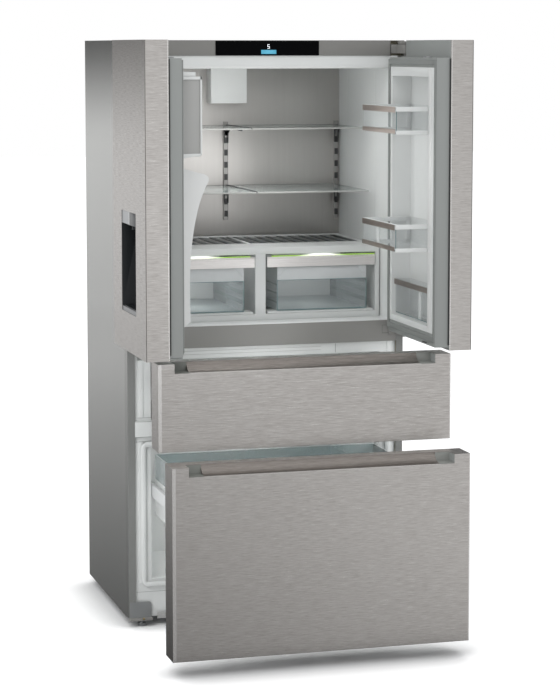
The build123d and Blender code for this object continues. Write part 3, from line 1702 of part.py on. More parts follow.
middle_z = (middle_front_bottom, middle_front_top)
bottom_z = (bottom_front_bottom, bottom_front_top)
for name, z, pull, rail_height in (
    ("middle", middle_z, middle_pull, middle_rail_height),
    ("bottom", bottom_z, bottom_pull, bottom_rail_height),
):
    save(drawer_skin(z, pull), f"{name}_front_skin")
    save(drawer_panel(z, pull), f"{name}_front_panel")
    save(drawer_grip(z[1], pull), f"{name}_grip")
    save(drawer_seal(z, pull), f"{name}_seal")
    save(stage_rail(rail_height, pull), f"{name}_rail_stage")
    save(moving_rail(rail_height, pull), f"{name}_drawer_rails")

# Middle drawer box
panel_back = -closed_front + front_panel_depth
with BuildPart() as middle_box:
    depth = (panel_back, middle_box_depth)
    drawer_block(
        (-box_half_width, box_half_width), depth, middle_pull, (middle_box_bottom, middle_box_top)
    )
    rear_edge = middle_box.edges().group_by(Axis.Z)[0].filter_by(Axis.X).sort_by(Axis.Y)[-1]
    fillet(rear_edge, radius=box_foot_round)
    drawer_block(
        (-box_half_width + box_wall, box_half_width - box_wall),
        (depth[0] + box_wall, depth[1] - box_wall),
        middle_pull,
        (middle_box_bottom + box_wall, middle_box_top),
        Mode.SUBTRACT,
    )
save(middle_box.part, "middle_box")

# Bottom drawer: white tub with a step over the machine space, clear wall on its rim
with BuildPart() as bottom_tub:
    drawer_block(
        (-box_half_width, box_half_width),
        (panel_back, tub_lower_depth),
        bottom_pull,
        (tub_bottom, tub_top),
    )
    drawer_block(
        (-box_half_width, box_half_width),
        (panel_back, bottom_box_depth),
        bottom_pull,
        (tub_step_top, tub_top),
    )
    w = box_wall
    drawer_block(
        (-box_half_width + w, box_half_width - w),
        (panel_back + w, tub_lower_depth - w),
        bottom_pull,
        (tub_bottom + w, tub_top),
        Mode.SUBTRACT,
    )
    drawer_block(
        (-box_half_width + w, box_half_width - w),
        (panel_back + w, bottom_box_depth - w),
        bottom_pull,
        (tub_step_top + w, tub_top),
        Mode.SUBTRACT,
    )
save(bottom_tub.part, "bottom_tub")

with BuildPart() as bottom_glass_wall:
    w = box_wall
    depth = (panel_back, bottom_box_depth)
    drawer_block((-box_half_width, box_half_width), depth, bottom_pull, (tub_top, glass_wall_top))
    drawer_block(
        (-box_half_width + w, box_half_width - w),
        (depth[0] + w, depth[1] - w),
        bottom_pull,
        (tub_top, glass_wall_top),
        Mode.SUBTRACT,
    )
save(bottom_glass_wall.part, "bottom_glass_wall")
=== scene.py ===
"""A stainless fridge-freezer with French doors over two drawers, dressed for its photograph.

Sizes in this file are in millimetres of the shared frame, unless a name says otherwise.
"""

from __future__ import annotations

import json
import logging
import math
from dataclasses import dataclass, field
from enum import Enum
from typing import Callable, Sequence

import bmesh
import bpy
from mathutils import Matrix, Vector

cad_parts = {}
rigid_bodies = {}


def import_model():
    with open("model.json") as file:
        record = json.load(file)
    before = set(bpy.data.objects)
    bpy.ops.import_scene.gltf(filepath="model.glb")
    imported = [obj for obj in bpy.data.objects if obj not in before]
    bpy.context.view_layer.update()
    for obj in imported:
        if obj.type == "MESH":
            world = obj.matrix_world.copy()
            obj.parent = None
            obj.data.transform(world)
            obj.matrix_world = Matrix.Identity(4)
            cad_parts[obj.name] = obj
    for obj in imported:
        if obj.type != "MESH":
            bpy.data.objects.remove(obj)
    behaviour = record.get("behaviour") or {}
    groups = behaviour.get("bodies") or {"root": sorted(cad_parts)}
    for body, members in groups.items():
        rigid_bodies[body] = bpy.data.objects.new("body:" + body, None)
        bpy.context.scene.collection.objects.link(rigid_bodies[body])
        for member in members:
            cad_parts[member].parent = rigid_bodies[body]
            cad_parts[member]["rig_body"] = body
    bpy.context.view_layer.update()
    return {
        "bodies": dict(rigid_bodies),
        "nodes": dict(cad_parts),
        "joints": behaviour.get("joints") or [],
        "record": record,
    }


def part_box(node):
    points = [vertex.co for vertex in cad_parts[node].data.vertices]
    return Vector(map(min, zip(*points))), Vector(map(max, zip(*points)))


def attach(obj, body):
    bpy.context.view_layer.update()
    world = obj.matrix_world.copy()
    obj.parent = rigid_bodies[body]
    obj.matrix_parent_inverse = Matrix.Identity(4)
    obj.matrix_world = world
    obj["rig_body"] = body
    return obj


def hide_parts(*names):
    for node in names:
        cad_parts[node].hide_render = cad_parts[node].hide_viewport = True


LOG = logging.getLogger("fridge")
MM = 0.001  # metres in a millimetre
FRONT = -9.5  # Y of the cabinet's front plane
OPEN_FACE = 499.4  # distance of an open door's outer face from the middle
OPEN_EDGE = 37.6  # distance of an open door's hinge edge from the front plane
SHARP = math.radians(26)  # least angle between the faces at a sharp edge
QUARTER_STEPS = 6  # steps round a quarter turn of a bead
MIX_FACTOR, MIX_FIRST, MIX_SECOND, MIX_RESULT = 0, 6, 7, 2  # sockets of a colour Mix node

Point = tuple[float, float, float]
Point2 = tuple[float, float]
Tone = tuple[int, int, int]
Socket = bpy.types.NodeSocket
Where = Callable[[Vector, Vector], bool]


class Axis(Enum):
    """Axes of the shared frame."""

    X = 0
    Y = 1
    Z = 2


class Side(Enum):
    """Left or right of the cabinet, seen from its front."""

    LEFT = -1
    RIGHT = 1


def behind(depth: float) -> float:
    """Y of a plane at a depth behind the cabinet's front plane.

    Args:
        depth: Distance behind the front plane, negative ahead of it.

    Returns:
        The Y place.
    """
    return FRONT + depth


def door_point(side: Side, along: float, inward: float, height: float) -> Point:
    """Place on an open door.

    Args:
        side: The door.
        along: Distance from its hinge edge.
        inward: Distance from its outer face.
        height: Height over the floor.

    Returns:
        The point in the shared frame.
    """
    return (side.value * (OPEN_FACE - inward), FRONT - OPEN_EDGE - along, height)


def mirrored(side: Side, near: float, far: float) -> Point2:
    """Span along X on one side of the cabinet.

    Args:
        side: The side.
        near: Distance of its inner end from the middle.
        far: Distance of its outer end from the middle.

    Returns:
        Its lowest and highest X.
    """
    low, high = sorted((side.value * near, side.value * far))
    return low, high


def tone(red: int, green: int, blue: int) -> tuple[float, float, float, float]:
    """Linear colour of an sRGB tone.

    Args:
        red: Red from 0 to 255.
        green: Green from 0 to 255.
        blue: Blue from 0 to 255.

    Returns:
        Linear red, green, blue and an alpha of 1.
    """
    parts = []
    for value in (red, green, blue):
        share = value / 255
        parts.append(share / 12.92 if share <= 0.04045 else ((share + 0.055) / 1.055) ** 2.4)
    return (parts[0], parts[1], parts[2], 1.0)


# Shader wiring and shared effects


class Wiring:
    """Adds and joins the nodes of one tree."""

    def __init__(self, tree: bpy.types.NodeTree) -> None:
        """Start on a tree.

        Args:
            tree: The tree of a material, world or group.
        """
        self.tree = tree

    def node(self, kind: str, **settings: object) -> bpy.types.Node:
        """Add a node.

        Args:
            kind: Blender's name for the node.
            settings: Properties to set on it.

        Returns:
            The new node.
        """
        made = self.tree.nodes.new(kind)
        for name, value in settings.items():
            setattr(made, name, value)
        return made

    def join(self, source: Socket, target: Socket) -> None:
        """Link an output to an input."""
        self.tree.links.new(source, target)

    def feed(self, value: object, target: Socket) -> None:
        """Link an output to an input, or set the input to a plain value.

        Args:
            value: The output socket or the value.
            target: The input socket.
        """
        if isinstance(value, Socket):
            self.join(value, target)
        else:
            target.default_value = value

    def math(
        self, operation: str, first: object, second: object = None, third: object = None
    ) -> Socket:
        """Add a Math node.

        Args:
            operation: Its operation.
            first: A socket or a number.
            second: A socket or a number, where the operation takes one.
            third: A socket or a number, where the operation takes one.

        Returns:
            Its output socket.
        """
        made = self.node("ShaderNodeMath", operation=operation)
        for index, value in enumerate((first, second, third)):
            if value is not None:
                self.feed(value, made.inputs[index])
        return made.outputs[0]

    def spread(self, value: Socket, low: float, high: float) -> Socket:
        """Map a value of 0 to 1 to another range.

        Args:
            value: The socket that varies.
            low: Result at 0.
            high: Result at 1.

        Returns:
            The mapped output socket.
        """
        made = self.node("ShaderNodeMapRange")
        self.join(value, made.inputs["Value"])
        made.inputs["To Min"].default_value = low
        made.inputs["To Max"].default_value = high
        return made.outputs["Result"]

    def blend(self, factor: Socket, first: object, second: object) -> Socket:
        """Mix two colours by a factor.

        Args:
            factor: The socket that varies.
            first: Colour or socket at 0.
            second: Colour or socket at 1.

        Returns:
            The mixed colour's output socket.
        """
        made = self.node("ShaderNodeMix", data_type="RGBA")
        self.join(factor, made.inputs[MIX_FACTOR])
        self.feed(first, made.inputs[MIX_FIRST])
        self.feed(second, made.inputs[MIX_SECOND])
        return made.outputs[MIX_RESULT]

    def noise(
        self, place: Socket, scale: object, detail: float, roughness: float = 0.5
    ) -> Socket:
        """Add a Noise texture.

        Args:
            place: The socket that gives its coordinates.
            scale: Its scale, a socket or a number.
            detail: Its detail.
            roughness: How strong the finer layers are.

        Returns:
            The output socket of its value.
        """
        made = self.node("ShaderNodeTexNoise")
        self.join(place, made.inputs["Vector"])
        self.feed(scale, made.inputs["Scale"])
        made.inputs["Detail"].default_value = detail
        made.inputs["Roughness"].default_value = roughness
        return made.outputs["Fac"]

    def sight(self) -> Socket:
        """Tell the rays that see the studio from those that light the object.

        Returns:
            A socket that is 1 for camera, glossy and transmission rays, else 0.
        """
        rays = self.node("ShaderNodeLightPath")
        seen = self.math("ADD", rays.outputs["Is Camera Ray"], rays.outputs["Is Glossy Ray"])
        seen = self.math("ADD", seen, rays.outputs["Is Transmission Ray"])
        return self.math("MINIMUM", seen, 1.0)


def bare_material(name: str) -> tuple[bpy.types.Material, Wiring, bpy.types.Node]:
    """Start a material that has nothing but its output.

    Args:
        name: The material's name.

    Returns:
        The material, its wiring and its output node.
    """
    material = bpy.data.materials.new(name)
    material.use_nodes = True
    wires = Wiring(material.node_tree)
    material.node_tree.nodes.clear()
    return material, wires, wires.node("ShaderNodeOutputMaterial")


class Effects:
    """Shader groups that several finishes share, each built once."""

    fine_share = 0.45

    def __init__(self) -> None:
        """Build every group."""
        self.grain = self._grain()
        self.mottle = self._mottle()
        self.texture = self._texture()
        self.dust = self._dust()

    def _group(
        self, name: str, inputs: dict[str, object], outputs: Sequence[str]
    ) -> tuple[bpy.types.NodeTree, Wiring, bpy.types.Node, bpy.types.Node]:
        """Start a group with its named sockets.

        Args:
            name: The group's name.
            inputs: Input names with their values, a tuple for a vector.
            outputs: Names of its number outputs.

        Returns:
            The group, its wiring, its input node and its output node.
        """
        group = bpy.data.node_groups.new(name, "ShaderNodeTree")
        for label, value in inputs.items():
            kind = "NodeSocketVector" if isinstance(value, tuple) else "NodeSocketFloat"
            socket = group.interface.new_socket(name=label, in_out="INPUT", socket_type=kind)
            socket.default_value = value
        for label in outputs:
            group.interface.new_socket(name=label, in_out="OUTPUT", socket_type="NodeSocketFloat")
        wires = Wiring(group)
        return group, wires, wires.node("NodeGroupInput"), wires.node("NodeGroupOutput")

    def _grain(self) -> bpy.types.NodeTree:
        """Brush lines: noise stretched along the brushing, with finer lines over it.

        Returns:
            The group.
        """
        group, wires, given, result = self._group(
            "brush_grain", {"Stretch": (9.0, 9.0, 260.0), "Contrast": 1.0}, ("Shade", "Height")
        )
        place = wires.node("ShaderNodeTexCoord")
        stretched = wires.node("ShaderNodeVectorMath", operation="MULTIPLY")
        wires.join(place.outputs["Object"], stretched.inputs[0])
        wires.join(given.outputs["Stretch"], stretched.inputs[1])
        lines = wires.noise(stretched.outputs[0], 1.0, 3.0, roughness=0.6)
        fine = wires.noise(stretched.outputs[0], 3.1, 2.0)
        both = wires.math("MULTIPLY_ADD", fine, self.fine_share, lines)
        centred = wires.math("SUBTRACT", both, 0.5 + 0.5 * self.fine_share)
        shade = wires.math("MULTIPLY", centred, given.outputs["Contrast"])
        level = wires.math("ADD", shade, 0.5)
        wires.join(wires.spread(level, 0.0, 1.0), result.inputs["Shade"])
        wires.join(both, result.inputs["Height"])
        return group

    def _mottle(self) -> bpy.types.NodeTree:
        """Slow cloudy change of tone over a surface.

        Returns:
            The group.
        """
        group, wires, given, result = self._group(
            "cloudy_mottle", {"Scale": 4.0, "Amount": 1.0}, ("Mask",)
        )
        place = wires.node("ShaderNodeTexCoord")
        cloud = wires.noise(place.outputs["Object"], given.outputs["Scale"], 3.0)
        level = wires.math("MULTIPLY", cloud, given.outputs["Amount"])
        wires.join(level, result.inputs["Mask"])
        return group

    def _texture(self) -> bpy.types.NodeTree:
        """Fine moulded or sprayed texture, for a Bump node's height.

        Returns:
            The group.
        """
        group, wires, given, result = self._group(
            "moulded_texture", {"Scale": 700.0}, ("Height", "Shade")
        )
        place = wires.node("ShaderNodeTexCoord")
        pits = wires.noise(place.outputs["Object"], given.outputs["Scale"], 2.0)
        wires.join(pits, result.inputs["Height"])
        wires.join(pits, result.inputs["Shade"])
        return group

    def _dust(self) -> bpy.types.NodeTree:
        """Mask of faces that look upwards, broken by noise, for a thin film of dust.

        Returns:
            The group.
        """
        group, wires, given, result = self._group(
            "settled_dust", {"Scale": 30.0, "Amount": 0.2}, ("Mask",)
        )
        place = wires.node("ShaderNodeTexCoord")
        surface = wires.node("ShaderNodeNewGeometry")
        parts = wires.node("ShaderNodeSeparateXYZ")
        wires.join(surface.outputs["Normal"], parts.inputs[0])
        upward = wires.node("ShaderNodeMapRange")
        upward.inputs["From Min"].default_value = 0.6
        wires.join(parts.outputs["Z"], upward.inputs["Value"])
        specks = wires.noise(place.outputs["Object"], given.outputs["Scale"], 4.0)
        broken = wires.math("MULTIPLY", upward.outputs["Result"], specks)
        wires.join(wires.math("MULTIPLY", broken, given.outputs["Amount"]), result.inputs["Mask"])
        return group


# Finishes


@dataclass(frozen=True)
class Finish:
    """A surface finish with a name and a main sRGB tone."""

    name: str
    colour: Tone
    roughness: float = 0.4

    def start(self) -> tuple[bpy.types.Material, Wiring, bpy.types.Node]:
        """Make the material with its Principled shader.

        Returns:
            The material, its wiring and the shader node.
        """
        material, wires, output = bare_material(self.name)
        shader = wires.node("ShaderNodeBsdfPrincipled")
        wires.join(shader.outputs[0], output.inputs["Surface"])
        shader.inputs["Roughness"].default_value = self.roughness
        return material, wires, shader

    def use(self, wires: Wiring, group: bpy.types.NodeTree, **values: object) -> bpy.types.Node:
        """Place a shared effect with this finish's own values.

        Args:
            wires: The material's wiring.
            group: The effect.
            values: Values for its inputs by name.

        Returns:
            The group node.
        """
        placed = wires.node("ShaderNodeGroup", node_tree=group)
        for name, value in values.items():
            placed.inputs[name].default_value = value
        return placed

    def bump(
        self, wires: Wiring, shader: bpy.types.Node, height: Socket, strength: float, rise: float
    ) -> None:
        """Give the shader a bump from a height.

        Args:
            wires: The material's wiring.
            shader: The Principled shader.
            height: The height's output socket.
            strength: How strong the bump is.
            rise: Height of the bump in metres.
        """
        bump = wires.node("ShaderNodeBump")
        bump.inputs["Strength"].default_value = strength
        bump.inputs["Distance"].default_value = rise
        wires.join(height, bump.inputs["Height"])
        wires.join(bump.outputs[0], shader.inputs["Normal"])

    def material(self, effects: Effects) -> bpy.types.Material:
        """Build the material; each kind of finish has its own."""
        raise NotImplementedError


@dataclass(frozen=True)
class BrushedSteel(Finish):
    """Stainless sheet with brush lines running level."""

    light: Tone = (190, 188, 185)
    stretch: Point = (24.0, 24.0, 500.0)
    contrast: float = 2.3
    ridge: float = 0.03
    metal: float = 1.0
    rough_spread: float = 0.05
    rise: float = 0.0006

    def material(self, effects: Effects) -> bpy.types.Material:
        """Build the metal.

        Args:
            effects: The shared shader groups.

        Returns:
            The material.
        """
        material, wires, shader = self.start()
        shader.inputs["Metallic"].default_value = self.metal
        grain = self.use(wires, effects.grain, Stretch=self.stretch, Contrast=self.contrast)
        cloud = self.use(wires, effects.mottle, Scale=2.2, Amount=0.35)
        shade = grain.outputs["Shade"]
        lines = wires.blend(shade, tone(*self.colour), tone(*self.light))
        clouded = wires.blend(cloud.outputs["Mask"], lines, tone(*self.light))
        wires.join(clouded, shader.inputs["Base Color"])
        most, least = self.roughness + self.rough_spread, self.roughness - self.rough_spread
        wires.join(wires.spread(shade, most, least), shader.inputs["Roughness"])
        self.bump(wires, shader, grain.outputs["Height"], self.ridge, self.rise)
        return material


@dataclass(frozen=True)
class Coated(Finish):
    """Opaque coat with a cloudy tone, a thin film of dust and a fine texture."""

    metallic: float = 0.0
    texture: float = 900.0
    bumpiness: float = 0.08
    dusty: float = 0.12
    darkest: float = 0.93
    cloud_scale: float = 5.0
    dust_scale: float = 24.0
    dust_tone: Tone = (205, 202, 196)
    rough_spread: float = 0.06
    rise: float = 0.0004

    def material(self, effects: Effects) -> bpy.types.Material:
        """Build the coat.

        Args:
            effects: The shared shader groups.

        Returns:
            The material.
        """
        material, wires, shader = self.start()
        shader.inputs["Metallic"].default_value = self.metallic
        base = tone(*self.colour)
        darker = tuple(self.darkest * part for part in base[:3]) + (1.0,)
        cloud = self.use(wires, effects.mottle, Scale=self.cloud_scale, Amount=1.0)
        dust = self.use(wires, effects.dust, Scale=self.dust_scale, Amount=self.dusty)
        coat = wires.blend(cloud.outputs["Mask"], darker, base)
        filmed = wires.blend(dust.outputs["Mask"], coat, tone(*self.dust_tone))
        wires.join(filmed, shader.inputs["Base Color"])
        pits = self.use(wires, effects.texture, Scale=self.texture)
        least, most = self.roughness - self.rough_spread, self.roughness + self.rough_spread
        wires.join(wires.spread(pits.outputs["Shade"], least, most), shader.inputs["Roughness"])
        self.bump(wires, shader, pits.outputs["Height"], self.bumpiness, self.rise)
        return material


@dataclass(frozen=True)
class CoatedSheet(Coated):
    """Painted or plated sheet metal with a fine sprayed texture."""


@dataclass(frozen=True)
class Moulding(Coated):
    """Moulded plastic or rubber with a faint cloudy tone."""

    texture: float = 600.0
    bumpiness: float = 0.05
    dusty: float = 0.08
    darkest: float = 0.95
    cloud_scale: float = 9.0
    dust_scale: float = 40.0
    dust_tone: Tone = (200, 198, 194)
    rough_spread: float = 0.05
    rise: float = 0.0003


@dataclass(frozen=True)
class Clear(Finish):
    """Clear sheet or thin moulding: see-through face on, more solid at a slant."""

    facing: float = 0.14
    slant: float = 0.5

    def material(self, effects: Effects) -> bpy.types.Material:
        """Build the clear material.

        Args:
            effects: The shared shader groups.

        Returns:
            The material.
        """
        material, wires, shader = self.start()
        base = tone(*self.colour)
        darker = tuple(0.95 * part for part in base[:3]) + (1.0,)
        cloud = self.use(wires, effects.mottle, Scale=12.0, Amount=1.0)
        wires.join(wires.blend(cloud.outputs["Mask"], darker, base), shader.inputs["Base Color"])
        rough = wires.spread(cloud.outputs["Mask"], self.roughness, self.roughness + 0.06)
        wires.join(rough, shader.inputs["Roughness"])
        lean = wires.node("ShaderNodeLayerWeight")
        lean.inputs["Blend"].default_value = 0.3
        solid = wires.spread(lean.outputs["Facing"], self.facing, self.slant)
        wires.join(solid, shader.inputs["Alpha"])
        return material


@dataclass(frozen=True)
class GlossBlack(Finish):
    """Black display glass with a faint depth of tone."""

    reflect: float = 0.03

    def material(self, effects: Effects) -> bpy.types.Material:
        """Build the glass.

        Args:
            effects: The shared shader groups.

        Returns:
            The material.
        """
        material, wires, shader = self.start()
        shader.inputs["Specular IOR Level"].default_value = self.reflect
        base = tone(*self.colour)
        cloud = self.use(wires, effects.mottle, Scale=6.0, Amount=0.8)
        shine = wires.blend(cloud.outputs["Mask"], base, tone(14, 14, 16))
        wires.join(shine, shader.inputs["Base Color"])
        return material


@dataclass(frozen=True)
class Glow(Finish):
    """Lit piece whose light changes from its ends to its middle."""

    middle: Tone = (255, 255, 255)
    centre: float = 0.0
    reach: float = 150.0
    core: float = 0.0
    strength: float = 1.0

    def material(self, effects: Effects) -> bpy.types.Material:
        """Build the lit material.

        Args:
            effects: The shared shader groups; not used.

        Returns:
            The material.
        """
        material, wires, shader = self.start()
        place = wires.node("ShaderNodeTexCoord")
        parts = wires.node("ShaderNodeSeparateXYZ")
        wires.join(place.outputs["Object"], parts.inputs[0])
        off = wires.math("SUBTRACT", parts.outputs["X"], self.centre * MM)
        away = wires.math("ABSOLUTE", off)
        near = wires.node("ShaderNodeMapRange", interpolation_type="SMOOTHSTEP")
        near.inputs["From Min"].default_value = self.core * self.reach * MM
        near.inputs["From Max"].default_value = self.reach * MM
        near.inputs["To Min"].default_value = 1.0
        near.inputs["To Max"].default_value = 0.0
        wires.join(away, near.inputs["Value"])
        light = wires.blend(near.outputs["Result"], tone(*self.colour), tone(*self.middle))
        wires.join(light, shader.inputs["Emission Color"])
        wires.join(light, shader.inputs["Base Color"])
        shader.inputs["Emission Strength"].default_value = self.strength
        return material


STEEL = BrushedSteel("brushed_steel_front", (176, 171, 167), 0.32, light=(218, 215, 212))
# Painted highlight: brighter steel laid on folds and edges where they catch the light.
FOLD_HIGHLIGHT = BrushedSteel(
    "polished_fold_steel", (226, 224, 221), 0.26, light=(240, 238, 236), contrast=0.5, ridge=0.02
)
REAR_STEEL = BrushedSteel(
    "rear_panel_steel", (198, 195, 192), 0.4, light=(212, 209, 206),
    stretch=(120.0, 120.0, 3.0), contrast=0.5, ridge=0.02,
)
STRIP_METAL = BrushedSteel(
    "brushed_trim_strip", (212, 208, 206), 0.4, light=(238, 235, 233), contrast=1.4, metal=0.5
)
BAR_METAL = BrushedSteel(
    "bin_bar_metal", (160, 148, 141), 0.42, light=(178, 167, 160), contrast=1.2
)
GRIP = BrushedSteel("grip_bar_metal", (126, 120, 116), 0.42, light=(156, 150, 145), contrast=2.0)
HARDWARE = CoatedSheet("slide_rail_steel", (186, 188, 190), 0.35, metallic=0.9, bumpiness=0.05)
SIDE_PAINT = CoatedSheet("grey_side_paint", (178, 179, 176), 0.2, metallic=0.85, bumpiness=0.02)
FLANGE = CoatedSheet("grey_flange_paint", (122, 123, 121), 0.5)
# Painted shade: thin dark lines round the lower hinge plates.
PLATE_EDGE_SHADE = CoatedSheet("grey_bracket_paint", (100, 100, 97), 0.45)
CAST_GREY = CoatedSheet("grey_bar_paint", (132, 131, 128), 0.45)
FASCIA_GREY = CoatedSheet("grey_fascia_paint", (126, 125, 122), 0.4)
RAIL_WHITE = CoatedSheet("pale_rail_coat", (208, 210, 210), 0.4, bumpiness=0.03)
ZINC = CoatedSheet("zinc_rear_sheet", (164, 166, 167), 0.5, metallic=0.6, texture=240.0)
LADDER = CoatedSheet("ladder_steel", (172, 170, 168), 0.4, metallic=0.9, bumpiness=0.03)
COIL = CoatedSheet("coil_metal", (190, 190, 194), 0.4, metallic=0.9)
BLACK_METAL = CoatedSheet("black_casing", (38, 38, 39), 0.42)
WHITE = Moulding("white_liner_plastic", (217, 219, 218), 0.38)
WHITE_DEEP = Moulding("white_cover_plastic", (220, 221, 220), 0.35)
FRAME_WHITE = Moulding("white_frame_plastic", (208, 210, 209), 0.38)
FILTER_WHITE = Moulding("white_box_plastic", (242, 243, 242), 0.35, dusty=0.0)
GREY = Moulding("grey_frame_plastic", (146, 149, 147), 0.45)
TRIM = Moulding("shelf_trim_plastic", (172, 172, 169), 0.4, dusty=0.0)
# Dark coat of the hooks and split lines, and painted shade in the ladder slots.
DARK_HOOK_AND_LADDER_SHADE = Moulding("dark_hook_coat", (56, 56, 57), 0.35, dusty=0.0)
RUBBER = Moulding("grey_seal_rubber", (128, 131, 129), 0.6, bumpiness=0.08)
BLACK_RUBBER = Moulding("black_centre_rubber", (42, 43, 43), 0.6, dusty=0.0)
BOX_GREY = Moulding("grey_window_plastic", (168, 168, 166), 0.35, dusty=0.0)
DARK = Moulding("dark_recess_plastic", (38, 41, 43), 0.35, dusty=0.0)
# Painted shade: dark bars put where screw slots and grooves would be.
SLOT_SHADE = Moulding("dark_slot_plastic", (36, 36, 37), 0.5, dusty=0.0)
NOZZLE = Moulding("silver_nozzle_plastic", (176, 178, 180), 0.3)
FOAM = Moulding("pale_foam", (232, 224, 200), 0.8, texture=260.0, bumpiness=0.3)
ROLLER = Moulding("roller_plastic", (44, 44, 45), 0.5)
GLASS = Clear("plate_glass", (166, 176, 174), 0.05, facing=0.3, slant=0.62)
DECK_GLASS = Clear("teal_cover_glass", (46, 56, 56), 0.08, facing=0.75, slant=0.9)
CLEAR = Clear("clear_moulded_plastic", (208, 217, 219), 0.08, facing=0.12, slant=0.5)
BIN_CLEAR = Clear("clear_bin_plastic", (205, 214, 215), 0.06, facing=0.05, slant=0.12)
SIDE_WALL = Clear("clear_side_wall", (168, 176, 176), 0.1, facing=0.46, slant=0.75)
TEAL = Clear("teal_clear_wall", (150, 178, 180), 0.1, facing=0.42, slant=0.75)
FROST = Clear("frosted_band", (208, 211, 212), 0.45, facing=0.8, slant=0.95)
STEP = Clear("smoky_step_plastic", (118, 128, 130), 0.2, facing=0.35, slant=0.7)
EDGE = Moulding("teal_cut_edge", (84, 118, 120), 0.25, dusty=0.0)
DECK = Moulding("deck_slat_plastic", (74, 80, 80), 0.4, dusty=0.0)
# Painted shade: a darker copy of the trim for the shelves' rear edges.
TRIM_REAR_SHADE = Moulding("rear_trim_plastic", (112, 112, 111), 0.4, dusty=0.0)
COVER_GREY = Moulding("rail_cover_plastic", (128, 131, 129), 0.45, dusty=0.0)
GRIP_END = Moulding("grip_end_plastic", (122, 124, 119), 0.45, dusty=0.0)
# Painted light: a lighter copy of the grip end finish, used on the right-hand end only.
GRIP_END_PAINTED_LIGHT = CoatedSheet("grip_end_lit_metal", (138, 140, 136), 0.45)
LIP_SILVER = Moulding("tray_lip_plastic", (132, 133, 134), 0.35, dusty=0.0)
PAD = Moulding("crisper_floor_pad", (150, 158, 158), 0.3, dusty=0.0)
PLATE_SHADE = Moulding("nozzle_plate_shade", (66, 68, 70), 0.3, dusty=0.0)
BRASS = CoatedSheet("yellow_screw_plating", (196, 172, 116), 0.3, metallic=0.9)
# Painted shade: a dark line that stands in for the shade in a fold's crease.
CREASE_SHADE = Moulding("fold_crease_line", (92, 90, 87), 0.5, dusty=0.0)
DISPLAY = GlossBlack("black_display_glass", (2, 2, 3), 0.06)


class Palette:
    """Builds each finish once and hands out its material."""

    def __init__(self) -> None:
        """Start with the shared effects and no material."""
        self.effects = Effects()
        self.made: dict[str, bpy.types.Material] = {}

    def of(self, finish: Finish) -> bpy.types.Material:
        """Material of a finish.

        Args:
            finish: The finish.

        Returns:
            Its material, built on first use.
        """
        if finish.name not in self.made:
            self.made[finish.name] = finish.material(self.effects)
        return self.made[finish.name]


# Meshes


